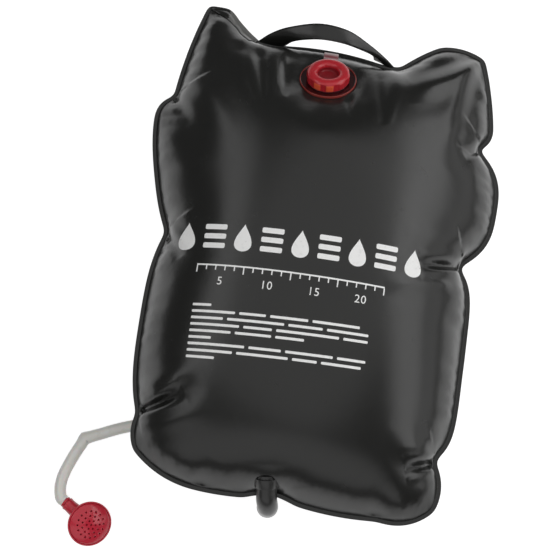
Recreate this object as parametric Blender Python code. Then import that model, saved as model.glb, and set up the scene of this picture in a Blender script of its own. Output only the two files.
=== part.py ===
"""Camp shower bag: a welded two-sheet water bag lying on its back, filled.

Metres, +Z up. The origin is on the flat of the bag's underside, below its middle.
+X runs across the bag and +Y from the outlet end to the handle end.
"""
from math import acos, cos, pi, radians, sin, sqrt

import bmesh
import bpy
from mathutils import Matrix, Vector
from mathutils.bvhtree import BVHTree

MM = 0.001

# Filled bag
BAG_WIDTH = 378 * MM
BAG_LENGTH = 525 * MM
SEAM_HEIGHT = 78 * MM
CROWN_HEIGHT = 89 * MM
WELD_THICKNESS = 0.9 * MM
SEAM_STEP = 19 * MM

# Tube handle
HANDLE_RISE = 33 * MM
HANDLE_PLY = 0.5 * MM
HANDLE_HINGE_GAP = 0.75 * MM

# Filler: dish, neck and screw cap
FILLER_ASIDE = -10.5 * MM
FILLER_FROM_TOP = 77.5 * MM
FILLER_PLACE = (FILLER_ASIDE, BAG_LENGTH / 2 - FILLER_FROM_TOP)
FILLER_HEIGHT = 113 * MM
FILLER_TILT_BACK = radians(30.5)
FILLER_TILT_LEFT = radians(6)
DISH_RADIUS = 30 * MM
DISH_THICKNESS = 1.6 * MM
DISH_LIP_WIDTH = 1.3 * MM
DISH_LIP_HEIGHT = 1.8 * MM
NECK_RADIUS = 18 * MM
NECK_WALL = 2.6 * MM
NECK_RISE = 7.2 * MM
NECK_DEPTH = 9 * MM
CAP_RADIUS = 22.8 * MM
CAP_HEIGHT = 9.4 * MM
CAP_WALL = 1.5 * MM
CAP_RECESS_RADIUS = 11 * MM
CAP_RECESS_DEPTH = 7 * MM
CAP_RIBS = 10
CAP_RIB_RELIEF = 0.9 * MM
CAP_RIB_WIDTH_SHARE = 0.5
CAP_RIB_STEPS = 4
CAP_CROWN_STEPS = 7
CAP_RECESS_TAPER_SHARES = (0.97, 0.90)
THREAD_CLEARANCE = 0.4 * MM
WASHER_THICKNESS = 1.4 * MM
TETHER_THICKNESS = 1.2 * MM
TETHER_WIDTH = 15.5 * MM
TETHER_RING_WIDTH = 3.2 * MM
TETHER_END_GAP = 2.4 * MM
TETHER_STEPS = 6
TETHER_LEVEL_STEPS = 4
TETHER_PROBE_SHARES = (-1, -0.5, 0, 0.5, 1)

# Outlet
OUTLET_RADIUS = 10.5 * MM
OUTLET_BORE_RADIUS = 4.5 * MM
OUTLET_SOCKET_DEPTH = 10 * MM
COLLAR_WALL = 1.4 * MM
COLLAR_LENGTH = 10 * MM
OUTLET_LEAD = 16 * MM
ELBOW_STEPS = 12

# Hose
HOSE_DIAMETER = 12.5 * MM
HOSE_STEPS = 37
HOSE_RESOLUTION = 2

# Shower head
HEAD_ASIDE = -184.9 * MM
HEAD_BEYOND = 42.3 * MM
HEAD_PLACE = (HEAD_ASIDE, -BAG_LENGTH / 2 - HEAD_BEYOND)
HEAD_TILT = radians(26.9)
HEAD_TURN = radians(-24.6)
HEAD_RADIUS = 23.6 * MM
HEAD_RIM_WIDTH = 1.7 * MM
HEAD_RIM_DEPTH = 2.4 * MM
HEAD_DEPTH = 10 * MM
HEAD_WALL = 1.6 * MM
ROSE_DOME = 5.2 * MM
ROSE_THICKNESS = 1.5 * MM
ROSE_HOLE_RADIUS = 0.85 * MM
ROSE_RING_STEP = 4.7 * MM
ROSE_HOLES_PER_RING = (1, 6, 11, 16)
SLEEVE_REACH = 31 * MM
SLEEVE_MOUTH_RADIUS = 7.2 * MM
SLEEVE_ROOT_RADIUS = 8.1 * MM
SLEEVE_BORE_RADIUS = 5.6 * MM
SLEEVE_AXIS_HEIGHT = 8.4 * MM
SLEEVE_TURN = radians(147.5)
SPIGOT_RADIUS = 4.6 * MM
SPIGOT_BORE_RADIUS = 2.4 * MM
SPIGOT_LENGTH = 18 * MM
SPIGOT_COLLAR = 2.5 * MM
SPIGOT_NOSE_SHARES = (0.6, 0.5)
PORT_RADIUS = 1.3 * MM
ORING_SECTION = 1.6 * MM
ORING_SETBACK = 7 * MM
ORING_SEAT_SHARE = 0.75
ORING_STEPS = 8
DOME_STEPS = 4

# The bowl's outside and inside past its rim: radius share, depth share
BOWL_OUTER_SHARES = ((0.88, 0.52), (0.62, 0.84), (0.33, 1.0))
BOWL_INNER_SHARES = ((0.30, 1.0), (0.56, 0.84), (0.82, 0.52))
SLEEVE_ROOT_SHARE = 0.25
SLEEVE_TAPER_SHARE = 0.45

# Fits
CLEAR = 0.3 * MM
CUT_OVERRUN = 5 * MM

SMOOTH_ANGLE = radians(35)

# Facets round each kind of part
WIDE_STEPS = 40
RING_STEPS = 32
TUBE_STEPS = 20
SMALL_STEPS = 24
FINE_STEPS = 10
HOLE_STEPS = 6

# The rim weld, clockwise from the left ear: x share of the half width, y share of the half
# length, bulge of the stretch that follows as a share of its chord, and how square it is.
SEAM_SHARES = (
    (-0.800, 1.000, 0.02, 2.0),
    (-0.665, 1.000, -0.05, 2.0),
    (-0.487, 0.881, 0.00, 2.0),
    (-0.330, 0.877, 0.04, 2.0),
    (0.231, 0.864, 0.00, 2.0),
    (0.344, 0.861, 0.03, 2.0),
    (0.557, 0.976, 0.10, 2.0),
    (0.825, 0.953, 0.03, 2.0),
    (0.925, 0.640, 0.14, 2.0),
    (0.857, 0.560, 0.225, 2.6),
    (0.829, 0.059, 0.085, 4.0),
    (0.835, -0.720, 0.13, 2.0),
    (0.865, -0.915, 0.14, 2.0),
    (0.563, -0.986, 0.03, 2.0),
    (0.130, -0.977, 0.00, 2.0),
    (-0.021, -0.947, 0.00, 2.0),
    (-0.160, -0.975, 0.00, 2.0),
    (-0.404, -0.976, 0.09, 2.0),
    (-0.785, -0.860, 0.11, 2.0),
    (-0.804, -0.717, 0.062, 2.5),
    (-0.821, 0.016, 0.045, 2.0),
    (-0.995, 0.480, 0.16, 2.0),
    (-0.907, 0.587, 0.03, 2.0),
)
HANDLE_ROOT_ROWS = range(2, 6)

# The handle's two edges between its roots: x share of the half width, y share of the half
# length, and height share of the handle's rise.
HANDLE_OUTER_SHARES = ((-0.413, 0.909, 0.36), (-0.315, 0.929, 0.70), (-0.150, 0.947, 1.00),
                       (0.012, 0.941, 0.93), (0.144, 0.912, 0.62), (0.265, 0.880, 0.28))
HANDLE_INNER_SHARES = ((-0.286, 0.8815, 0.40), (-0.214, 0.882, 0.72), (-0.120, 0.883, 0.92),
                       (0.000, 0.882, 0.88), (0.110, 0.880, 0.60), (0.180, 0.876, 0.32))
HANDLE_STEPS = 5

# Rings of each sheet, as shares of the way out from the middle to the weld
RING_SHARES = (1.0, 0.97, 0.925, 0.86, 0.76, 0.62, 0.45, 0.25)

# How full the bag is: how far its swelling reaches past its half width and half length, how
# soon it falls off on the way there, how steeply, and the same for the way out to the weld.
SIDE_REACH_SHARE = 1.005
SIDE_POWER = 1.54
SIDE_FULLNESS = 0.42
END_REACH_SHARE = 2.286
END_POWER = 1.44
END_FULLNESS = 0.94
RIM_POWER = 6.4
RIM_FULLNESS = 1.1
UNDERSIDE_FULLNESS = 1.21
FLAT_SHARE = 1.08
FLAT_FADE_SHARE = 1.7

# The elbow and the hose are laid out from the bag's lower end.
LOWER_END = Vector((0, -BAG_LENGTH / 2, 0))

# Centre line of the outlet elbow
ELBOW_ROUTE = tuple(LOWER_END + Vector(p) * MM for p in (
    (-8.6, 19.5, 93.0), (-6.8, 9.5, 88.2), (-4.8, 3.5, 78.5), (-4.0, 2.0, 68.0),
    (-4.0, 2.0, 52.0)))

# Centre line of the hose, from the elbow's socket to the spigot's collar
HOSE_ROUTE = tuple(LOWER_END + Vector(p) * MM for p in (
    (-4.0, 2.0, 61.7), (-4.0, 2.1, 46.0), (-4.6, 4.9, 29.0), (-7.6, 13.0, 15.2),
    (-14.5, 26.0, 8.2), (-26.0, 43.0, 6.7), (-43.5, 58.5, 6.6), (-66.0, 68.5, 6.6),
    (-93.0, 73.7, 6.6), (-121.0, 74.1, 6.6), (-147.0, 70.5, 6.6), (-170.0, 62.9, 6.6),
    (-190.0, 53.7, 6.6), (-205.2, 44.9, 6.6), (-213.4, 31.0, 6.6), (-219.4, 15.5, 6.6),
    (-223.0, 2.5, 6.7), (-223.6, -9.5, 7.3)))
HOSE_LEAD = 5 * MM


def clear_scene():
    for item in list(bpy.data.objects):
        bpy.data.objects.remove(item, do_unlink=True)


def make_material(name, colour, roughness):
    material = bpy.data.materials.new(name)
    material.use_nodes = True
    shader = material.node_tree.nodes["Principled BSDF"]
    shader.inputs["Base Color"].default_value = (*colour, 1.0)
    shader.inputs["Roughness"].default_value = roughness
    shader.inputs["Metallic"].default_value = 0.0
    material.diffuse_color = (*colour, 1.0)
    return material


def mesh_object(name, verts, faces, material, placement=None):
    mesh = bpy.data.meshes.new(name)
    mesh.from_pydata([tuple(v) for v in verts], [], faces)
    mesh.materials.append(material)
    mesh.shade_smooth()
    mesh.set_sharp_from_angle(angle=SMOOTH_ANGLE)
    item = bpy.data.objects.new(name, mesh)
    bpy.context.scene.collection.objects.link(item)
    if placement is not None:
        item.matrix_world = placement
    return item


def revolve(profile, steps, radius_at=None):
    """Turn a closed (radius, z) outline about Z. Points at radius 0 become poles."""
    verts = []
    rows = []
    for radius, height in profile:
        if radius <= 0.0:
            verts.append((0.0, 0.0, height))
            rows.append([len(verts) - 1] * steps)
            continue
        row = []
        for step in range(steps):
            angle = 2 * pi * step / steps
            reach = radius_at(radius, height, angle) if radius_at else radius
            verts.append((reach * cos(angle), reach * sin(angle), height))
            row.append(len(verts) - 1)
        rows.append(row)
    faces = []
    for low, high in zip(rows, rows[1:] + rows[:1]):
        for step in range(steps):
            after = (step + 1) % steps
            corners = [low[step], low[after], high[after], high[step]]
            face = [c for i, c in enumerate(corners) if c not in corners[:i]]
            if len(face) > 2:
                faces.append(face)
    return verts, faces


def turned(name, profile, steps, material, placement, radius_at=None):
    verts, faces = revolve(profile, steps, radius_at)
    return mesh_object(name, verts, faces, material, placement)


def boolean(target, cutter, operation="DIFFERENCE"):
    cutter.hide_render = True
    cutter.display_type = "WIRE"
    modifier = target.modifiers.new(f"{operation.lower()} {cutter.name}", "BOOLEAN")
    modifier.operation = operation
    modifier.solver = "EXACT"
    modifier.object = cutter


def smooth_points(route, count):
    """Points at equal steps along a smooth curve through the route's own points."""
    line = [route[0] * 2 - route[1]] + list(route) + [route[-1] * 2 - route[-2]]
    fine = []
    parts = 24
    for a, b, c, d in zip(line, line[1:], line[2:], line[3:]):
        for part in range(parts):
            t = part / parts
            fine.append(0.5 * (2 * b + (c - a) * t + (2 * a - 5 * b + 4 * c - d) * t * t
                               + (3 * b - a - 3 * c + d) * t ** 3))
    fine.append(route[-1].copy())
    lengths = [0.0]
    for a, b in zip(fine, fine[1:]):
        lengths.append(lengths[-1] + (b - a).length)
    points = []
    index = 0
    for step in range(count):
        want = lengths[-1] * step / (count - 1)
        while index < len(fine) - 2 and lengths[index + 1] < want:
            index += 1
        span = lengths[index + 1] - lengths[index]
        points.append(fine[index].lerp(fine[index + 1], (want - lengths[index]) / span))
    return points


def tube_object(name, points, radius, material, resolution):
    curve = bpy.data.curves.new(name, "CURVE")
    curve.dimensions = "3D"
    curve.bevel_depth = radius
    curve.bevel_resolution = resolution
    curve.use_fill_caps = True
    curve.twist_mode = "MINIMUM"
    spline = curve.splines.new("POLY")
    spline.points.add(len(points) - 1)
    for slot, point in zip(spline.points, points):
        slot.co = (*point, 1.0)
    curve.materials.append(material)
    item = bpy.data.objects.new(name, curve)
    bpy.context.scene.collection.objects.link(item)


def tube_mesh(name, points, radius, material, sides):
    """A solid round bar along the points, as a mesh that a Boolean can use."""
    verts = []
    side = Vector((1, 0, 0))
    for index, point in enumerate(points):
        after = points[min(len(points) - 1, index + 1)]
        run = (after - points[max(0, index - 1)]).normalized()
        side = (side - run * side.dot(run)).normalized()
        up = run.cross(side)
        for step in range(sides):
            angle = 2 * pi * step / sides
            verts.append(point + (side * cos(angle) + up * sin(angle)) * radius)
    faces = [list(range(sides - 1, -1, -1))]
    for row in range(len(points) - 1):
        for step in range(sides):
            a = row * sides + step
            b = row * sides + (step + 1) % sides
            faces.append((a, b, b + sides, a + sides))
    last = (len(points) - 1) * sides
    faces.append([last + step for step in range(sides)])
    return mesh_object(name, verts, faces, material)


def frame_along(origin, z_axis, side):
    """A placement with its Z along z_axis and its X towards side."""
    z = z_axis.normalized()
    x = (side - z * side.dot(z)).normalized()
    y = z.cross(x)
    placement = Matrix((x, y, z)).transposed().to_4x4()
    placement.translation = origin
    return placement


# Outline of the weld

def seam_corner(index):
    x, y = SEAM_SHARES[index % len(SEAM_SHARES)][:2]
    return Vector((x * BAG_WIDTH / 2, y * BAG_LENGTH / 2))


def seam_outline():
    points = []
    for index, (_, _, bulge, squareness) in enumerate(SEAM_SHARES):
        start = seam_corner(index)
        end = seam_corner(index + 1)
        chord = end - start
        outward = Vector((-chord.y, chord.x))
        steps = max(1, round(chord.length / SEAM_STEP))
        if bulge and steps < 3:
            steps = 3
        for step in range(steps):
            t = step / steps
            arch = 1 - abs(2 * t - 1) ** squareness
            points.append(start + chord * t + outward * bulge * arch)
    return points


# Crown of the sheets

def fullness(x, y, ring):
    """0 at the weld and 1 in the middle of the bag."""
    reach_x = min(1.0, abs(x) / (BAG_WIDTH / 2 * SIDE_REACH_SHARE))
    reach_y = min(1.0, abs(y) / (BAG_LENGTH / 2 * END_REACH_SHARE))
    across = (1 - reach_x ** SIDE_POWER) ** SIDE_FULLNESS
    along = (1 - reach_y ** END_POWER) ** END_FULLNESS
    return across * along * (1 - ring ** RIM_POWER) ** RIM_FULLNESS


def filler_normal():
    lean = Matrix.Rotation(-FILLER_TILT_BACK, 3, "X")
    turn = Matrix.Rotation(-FILLER_TILT_LEFT, 3, "Y")
    return turn @ lean @ Vector((0, 0, 1))


def front_height(x, y, ring):
    crown = SEAM_HEIGHT + CLEAR / 2 + WELD_THICKNESS + CROWN_HEIGHT * fullness(x, y, ring)
    normal = filler_normal()
    from_filler = Vector((x - FILLER_PLACE[0], y - FILLER_PLACE[1]))
    plane = FILLER_HEIGHT - (normal.x * from_filler.x + normal.y * from_filler.y) / normal.z
    near = DISH_RADIUS * FLAT_SHARE
    far = DISH_RADIUS * FLAT_FADE_SHARE
    t = min(1.0, max(0.0, (from_filler.length - near) / (far - near)))
    keep = t * t * (3 - 2 * t)
    floor = SEAM_HEIGHT + CLEAR / 2 + WELD_THICKNESS
    return max(floor, crown * keep + plane * (1 - keep))


def back_height(x, y, ring):
    depth = min(1.0, UNDERSIDE_FULLNESS * fullness(x, y, ring))
    return (SEAM_HEIGHT - CLEAR / 2 - WELD_THICKNESS) * (1 - depth)


def sheet_object(name, outline, base, height_at, material):
    verts = [(p.x, p.y, base) for p in outline]
    count = len(outline)
    rows = [list(range(count))]
    for ring in RING_SHARES:
        row = []
        for p in outline:
            x, y = p.x * ring, p.y * ring
            verts.append((x, y, height_at(x, y, ring)))
            row.append(len(verts) - 1)
        rows.append(row)
    verts.append((0.0, 0.0, height_at(0.0, 0.0, 0.0)))
    centre = len(verts) - 1
    verts.append((0.0, 0.0, base))
    base_centre = len(verts) - 1
    faces = []
    for low, high in zip(rows, rows[1:]):
        for i in range(count):
            j = (i + 1) % count
            faces.append((low[i], low[j], high[j], high[i]))
    for i in range(count):
        j = (i + 1) % count
        faces.append((rows[-1][i], rows[-1][j], centre))
        faces.append((rows[0][j], rows[0][i], base_centre))
    mesh = bmesh.new()
    for v in verts:
        mesh.verts.new(v)
    mesh.verts.ensure_lookup_table()
    for face in faces:
        mesh.faces.new([mesh.verts[i] for i in face])
    bmesh.ops.triangulate(mesh, faces=mesh.faces[:])
    bmesh.ops.recalc_face_normals(mesh, faces=mesh.faces[:])
    item = mesh_object(name, [], [], material)
    mesh.to_mesh(item.data)
    mesh.free()
    item.data.shade_smooth()
    item.data.set_sharp_from_angle(angle=SMOOTH_ANGLE)
    return item


# Filler

def filler_placement():
    place = Vector((FILLER_PLACE[0], FILLER_PLACE[1], FILLER_HEIGHT))
    return frame_along(place, filler_normal(), Vector((1, 0, 0)))


def build_filler(placement, red):
    lip_top = DISH_THICKNESS + DISH_LIP_HEIGHT
    lip_inner = DISH_RADIUS - DISH_LIP_WIDTH
    bore = NECK_RADIUS - NECK_WALL
    neck_profile = [
        (bore, -NECK_DEPTH), (NECK_RADIUS, -NECK_DEPTH), (NECK_RADIUS, 0.0),
        (DISH_RADIUS, 0.0), (DISH_RADIUS, lip_top), (lip_inner, lip_top),
        (lip_inner, DISH_THICKNESS), (NECK_RADIUS, DISH_THICKNESS), (NECK_RADIUS, NECK_RISE),
        (bore, NECK_RISE)]
    turned("filler_neck", neck_profile, WIDE_STEPS, red, placement)

    ring_base = DISH_THICKNESS + CLEAR
    skirt_base = ring_base + TETHER_THICKNESS + CLEAR
    washer_base = NECK_RISE + CLEAR
    ceiling = washer_base + WASHER_THICKNESS + CLEAR
    skirt_bore = NECK_RADIUS + THREAD_CLEARANCE
    cap_top = skirt_base + CAP_HEIGHT
    recess_floor = cap_top - CAP_RECESS_DEPTH
    recess_wall = CAP_RECESS_RADIUS + CAP_WALL
    round_radius = (CAP_RADIUS - CAP_RECESS_RADIUS) / 2
    crown_middle = CAP_RECESS_RADIUS + round_radius
    crown_rise = cap_top - ceiling - CAP_WALL
    cap_profile = [(0.0, recess_floor - CAP_WALL), (recess_wall, recess_floor - CAP_WALL),
                   (recess_wall, ceiling), (skirt_bore, ceiling), (skirt_bore, skirt_base),
                   (CAP_RADIUS, skirt_base)]
    for step in range(CAP_CROWN_STEPS + 1):
        angle = pi * step / CAP_CROWN_STEPS
        cap_profile.append((crown_middle + round_radius * cos(angle),
                            cap_top - crown_rise * (1 - sin(angle))))
    upper, lower = CAP_RECESS_TAPER_SHARES
    cap_profile += [(CAP_RECESS_RADIUS * upper, recess_floor + crown_rise / 2),
                    (CAP_RECESS_RADIUS * lower, recess_floor), (0.0, recess_floor)]

    def ribbed(radius, height, angle):
        outer = radius > skirt_bore + CAP_WALL and height < cap_top - crown_rise / 2
        phase = (angle * CAP_RIBS / (2 * pi)) % 1.0
        return radius - CAP_RIB_RELIEF if outer and phase >= CAP_RIB_WIDTH_SHARE else radius

    turned("filler_cap", cap_profile, CAP_RIBS * CAP_RIB_STEPS, red, placement, ribbed)

    washer_inner = recess_wall + CLEAR
    washer_outer = skirt_bore - CLEAR
    washer_profile = [(washer_inner, washer_base), (washer_outer, washer_base),
                      (washer_outer, washer_base + WASHER_THICKNESS),
                      (washer_inner, washer_base + WASHER_THICKNESS)]
    turned("cap_washer", washer_profile, RING_STEPS, MATERIALS["rubber"], placement)

    ring_inner = NECK_RADIUS + CLEAR
    ring_outer = ring_inner + TETHER_RING_WIDTH
    ring_profile = [(ring_inner, ring_base), (ring_outer, ring_base),
                    (ring_outer, ring_base + TETHER_THICKNESS),
                    (ring_inner, ring_base + TETHER_THICKNESS)]
    turned("tether_ring", ring_profile, RING_STEPS, red, placement)
    return ring_outer, ring_base, lip_top


def build_tether_strap(front, placement, ring_outer, ring_base, lip_top, red):
    """From beside the ring, over the dish's lip, down the sheet to the top weld."""
    tree = BVHTree.FromObject(front, bpy.context.evaluated_depsgraph_get())
    half = TETHER_WIDTH / 2
    inner = sqrt((ring_outer + CLEAR) ** 2 - half ** 2)
    lip_y = DISH_RADIUS - DISH_LIP_WIDTH
    over_lip = lip_top + CLEAR
    line = []
    for y, z in ((inner + TETHER_THICKNESS, ring_base), (CAP_RADIUS + TETHER_THICKNESS, ring_base),
                 (lip_y - CLEAR, over_lip), (DISH_RADIUS + TETHER_THICKNESS, over_lip)):
        line.append(placement @ Vector((0.0, y, z)))
    start = line[-1]
    lip_index = len(line) - 1
    end_y = seam_corner(HANDLE_ROOT_ROWS[1]).y - TETHER_END_GAP
    sky = BAG_LENGTH
    for step in range(1, TETHER_STEPS + 1):
        y = start.y + (end_y - start.y) * step / TETHER_STEPS
        highest = SEAM_HEIGHT
        for share in TETHER_PROBE_SHARES:
            hit = tree.ray_cast(Vector((start.x + share * half, y, sky)), Vector((0, 0, -1)))[0]
            if hit:
                highest = max(highest, hit.z)
        line.append(Vector((start.x, y, highest + 2 * CLEAR)))
    verts = []
    for index, point in enumerate(line):
        before = line[max(0, index - 1)]
        after = line[min(len(line) - 1, index + 1)]
        run = (after - before).normalized()
        level = min(1.0, max(0.0, (index - lip_index) / TETHER_LEVEL_STEPS))
        across = placement.to_3x3().col[0].lerp(Vector((1, 0, 0)), level)
        up = across.cross(run).normalized()
        for side, lift in ((-half, 0), (half, 0), (half, 1), (-half, 1)):
            verts.append(point + across * side + up * lift * TETHER_THICKNESS)
    faces = [(0, 1, 2, 3)]
    for row in range(len(line) - 1):
        for side in range(4):
            a = row * 4 + side
            b = row * 4 + (side + 1) % 4
            faces.append((a, a + 4, b + 4, b))
    last = (len(line) - 1) * 4
    faces.append((last + 3, last + 2, last + 1, last))
    mesh_object("tether_strap", verts, faces, red)


# Handle

def handle_edges():
    """Matching points of the handle's outer and inner edge, from root to root."""
    rows = [seam_corner(i) for i in HANDLE_ROOT_ROWS]
    hinge = (rows[3] - rows[0]).normalized()
    outward = Vector((-hinge.y, hinge.x, 0))
    lift = outward * HANDLE_HINGE_GAP
    roots = [Vector((p.x, p.y, SEAM_HEIGHT)) + lift for p in rows]

    def edge(first, shares, last):
        line = [first]
        for x, y, z in shares:
            line.append(Vector((x * BAG_WIDTH / 2, y * BAG_LENGTH / 2,
                                SEAM_HEIGHT + z * HANDLE_RISE)))
        return smooth_points(line + [last], len(line) * HANDLE_STEPS + 1)

    outer = edge(roots[0], HANDLE_OUTER_SHARES, roots[3])
    inner = edge(roots[1], HANDLE_INNER_SHARES, roots[2])
    return outer, inner


def handle_hinge():
    outer, inner = handle_edges()
    middle = (outer[0] + outer[-1]) / 2
    return middle, (outer[-1] - outer[0]).normalized()


def build_handle_ply(name, low, high, material):
    """A flat band between the two edges, from low to high above its middle surface."""
    outer, inner = handle_edges()
    origin, hinge = handle_hinge()
    verts = []
    for index, (out_point, in_point) in enumerate(zip(outer, inner)):
        before = (outer[max(0, index - 1)] + inner[max(0, index - 1)]) / 2
        last = min(len(outer) - 1, index + 1)
        after = (outer[last] + inner[last]) / 2
        up = (out_point - in_point).cross(before - after).normalized()
        if up.z < 0:
            up = -up
        if index in (0, len(outer) - 1):
            up = Vector((0, 0, 1))
        for point, offset in ((in_point, low), (out_point, low), (out_point, high),
                              (in_point, high)):
            verts.append(point + up * offset - origin)
    faces = [(3, 2, 1, 0)]
    for row in range(len(outer) - 1):
        for side in range(4):
            a = row * 4 + side
            b = row * 4 + (side + 1) % 4
            faces.append((a, b, b + 4, a + 4))
    last = (len(outer) - 1) * 4
    faces.append((last, last + 1, last + 2, last + 3))
    mesh = bmesh.new()
    for v in verts:
        mesh.verts.new(v)
    mesh.verts.ensure_lookup_table()
    for face in faces:
        mesh.faces.new([mesh.verts[i] for i in face])
    bmesh.ops.triangulate(mesh, faces=mesh.faces[:])
    bmesh.ops.recalc_face_normals(mesh, faces=mesh.faces[:])
    item = mesh_object(name, [], [], material, Matrix.Translation(origin))
    mesh.to_mesh(item.data)
    mesh.free()


# Outlet and hose

def build_outlet(front, back, black):
    bend = smooth_points(ELBOW_ROUTE, ELBOW_STEPS)
    run = (bend[1] - bend[0]).normalized()
    path = [bend[0] - run * OUTLET_LEAD] + bend
    elbow = tube_mesh("outlet_elbow", path, OUTLET_RADIUS, black, TUBE_STEPS)
    mouth_run = (path[-1] - path[-2]).normalized()
    bore = tube_mesh("cut elbow bore", [path[0] - run * CUT_OVERRUN] + path[1:-1]
                     + [path[-1] + mouth_run * CUT_OVERRUN], OUTLET_BORE_RADIUS, black,
                     FINE_STEPS)
    boolean(elbow, bore)
    socket = tube_mesh("cut hose socket", [path[-1] - mouth_run * OUTLET_SOCKET_DEPTH,
                                           path[-1] + mouth_run * CUT_OVERRUN],
                       HOSE_DIAMETER / 2 + CLEAR, black, TUBE_STEPS)
    boolean(elbow, socket)

    collar_place = frame_along(bend[0] - run * (COLLAR_LENGTH + COLLAR_WALL), run,
                               Vector((1, 0, 0)))
    inner = OUTLET_RADIUS + CLEAR
    outer = inner + COLLAR_WALL
    turned("outlet_collar", [(inner, 0.0), (outer, 0.0), (outer, COLLAR_LENGTH),
                             (inner, COLLAR_LENGTH)], SMALL_STEPS, black, collar_place)

    room = tube_mesh("cut elbow room", [path[0] - run * CLEAR] + path[1:],
                     OUTLET_RADIUS + CLEAR, black, TUBE_STEPS)
    reach = outer + CLEAR
    collar_room = turned("cut collar room", [(0.0, -CLEAR), (reach, -CLEAR),
                                             (reach, COLLAR_LENGTH + CLEAR),
                                             (0.0, COLLAR_LENGTH + CLEAR)],
                         SMALL_STEPS, black, collar_place)
    for sheet in (front, back):
        boolean(sheet, room)
        boolean(sheet, collar_room)


def build_hose(end, away, material):
    points = smooth_points(HOSE_ROUTE + (end + away * HOSE_LEAD,), HOSE_STEPS) + [end]
    tube_object("hose", points, HOSE_DIAMETER / 2, material, HOSE_RESOLUTION)


# Shower head

def bowl_outline():
    """Radius and depth of the bowl's outside, from its rim to its floor."""
    points = [(HEAD_RADIUS, 0.0), (HEAD_RADIUS, HEAD_RIM_DEPTH)]
    points += [(HEAD_RADIUS * r, HEAD_DEPTH * d) for r, d in BOWL_OUTER_SHARES]
    return points + [(0.0, HEAD_DEPTH)]


def head_layout():
    """The bowl's placement, the sleeve's root on the bowl's axis and its unit direction."""
    rest = max(r * sin(HEAD_TILT) + d * cos(HEAD_TILT) for r, d in bowl_outline())
    normal = Vector((sin(HEAD_TILT) * cos(HEAD_TURN), sin(HEAD_TILT) * sin(HEAD_TURN),
                     cos(HEAD_TILT)))
    centre = Vector((HEAD_PLACE[0], HEAD_PLACE[1], rest))
    bowl = frame_along(centre, normal, Vector((0, 0, 1)))
    depth = (centre.z - SLEEVE_AXIS_HEIGHT) / normal.z
    root = centre - normal * depth
    away = Vector((cos(SLEEVE_TURN), sin(SLEEVE_TURN), 0.0))
    return bowl, root, away


def dome_profile(radius, height, steps, base):
    """Points of a shallow dome from its rim to its pole."""
    ball = (radius ** 2 + height ** 2) / (2 * height)
    spread = acos((ball - height) / ball)
    points = []
    for step in range(steps + 1):
        angle = spread * (1 - step / steps)
        points.append((ball * sin(angle), base + height - ball * (1 - cos(angle))))
    return points


def build_head(red, seal_material):
    bowl, root, away = head_layout()
    rose_radius = HEAD_RADIUS - HEAD_RIM_WIDTH - CLEAR
    ledge = rose_radius - 2 * HEAD_WALL
    outer = [(0.0, 0.0)] + [(r, -d) for r, d in bowl_outline()]
    body = turned("head_bowl", outer, WIDE_STEPS, red, bowl)
    sleeve_place = frame_along(root, away, Vector((0, 0, 1)))
    start = SLEEVE_REACH * SLEEVE_ROOT_SHARE
    sleeve = turned("join sleeve", [(0.0, start), (SLEEVE_ROOT_RADIUS, start),
                                    (SLEEVE_ROOT_RADIUS, SLEEVE_REACH * SLEEVE_TAPER_SHARE),
                                    (SLEEVE_MOUTH_RADIUS, SLEEVE_REACH), (0.0, SLEEVE_REACH)],
                    SMALL_STEPS, red, sleeve_place)
    boolean(body, sleeve, "UNION")
    seat_depth = HEAD_WALL + CLEAR
    floor = HEAD_DEPTH - HEAD_WALL
    inside = [(0.0, -floor)] + [(HEAD_RADIUS * r, -floor * d) for r, d in BOWL_INNER_SHARES]
    chamber = turned("cut chamber", inside + [
        (ledge, -seat_depth), (rose_radius + CLEAR, -seat_depth),
        (rose_radius + CLEAR, CUT_OVERRUN), (0.0, CUT_OVERRUN)], WIDE_STEPS, red, bowl)
    boolean(body, chamber)
    bore = turned("cut sleeve bore", [(0.0, 0.0), (SLEEVE_BORE_RADIUS, 0.0),
                                      (SLEEVE_BORE_RADIUS, SLEEVE_REACH + CUT_OVERRUN),
                                      (0.0, SLEEVE_REACH + CUT_OVERRUN)], SMALL_STEPS, red,
                  sleeve_place)
    boolean(body, bore)

    build_rose(bowl, rose_radius, seat_depth - CLEAR, red)
    return build_spigot(root + away * SLEEVE_REACH, away, red, seal_material)


def build_rose(bowl, radius, seat, red):
    ball_in = dome_profile(radius - ROSE_THICKNESS, ROSE_DOME - ROSE_THICKNESS / 2,
                           DOME_STEPS - 1,
                           -seat + ROSE_THICKNESS / 2)
    profile = dome_profile(radius, ROSE_DOME, DOME_STEPS, 0.0)
    outline = [(radius, -seat)] + profile + ball_in[::-1] + [(radius - ROSE_THICKNESS, -seat)]
    rose = turned("head_rose", outline, WIDE_STEPS, red, bowl)
    drill_verts = []
    drill_faces = []
    for ring, holes in enumerate(ROSE_HOLES_PER_RING):
        reach = ring * ROSE_RING_STEP
        for hole in range(holes):
            angle = 2 * pi * (hole + 0.5 * (ring % 2)) / holes
            at = Vector((reach * cos(angle), reach * sin(angle), 0))
            first = len(drill_verts)
            for z in (-HEAD_DEPTH / 2, ROSE_DOME + CUT_OVERRUN):
                for side in range(HOLE_STEPS):
                    turn = 2 * pi * side / HOLE_STEPS
                    drill_verts.append(at + Vector((ROSE_HOLE_RADIUS * cos(turn),
                                                    ROSE_HOLE_RADIUS * sin(turn), z)))
            top = first + HOLE_STEPS
            drill_faces.append([first + i for i in range(HOLE_STEPS - 1, -1, -1)])
            drill_faces.append([top + i for i in range(HOLE_STEPS)])
            for side in range(HOLE_STEPS):
                after = (side + 1) % HOLE_STEPS
                drill_faces.append((first + side, first + after, top + after, top + side))
    drills = mesh_object("cut rose holes", drill_verts, drill_faces, red, bowl)
    boolean(rose, drills)


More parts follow.
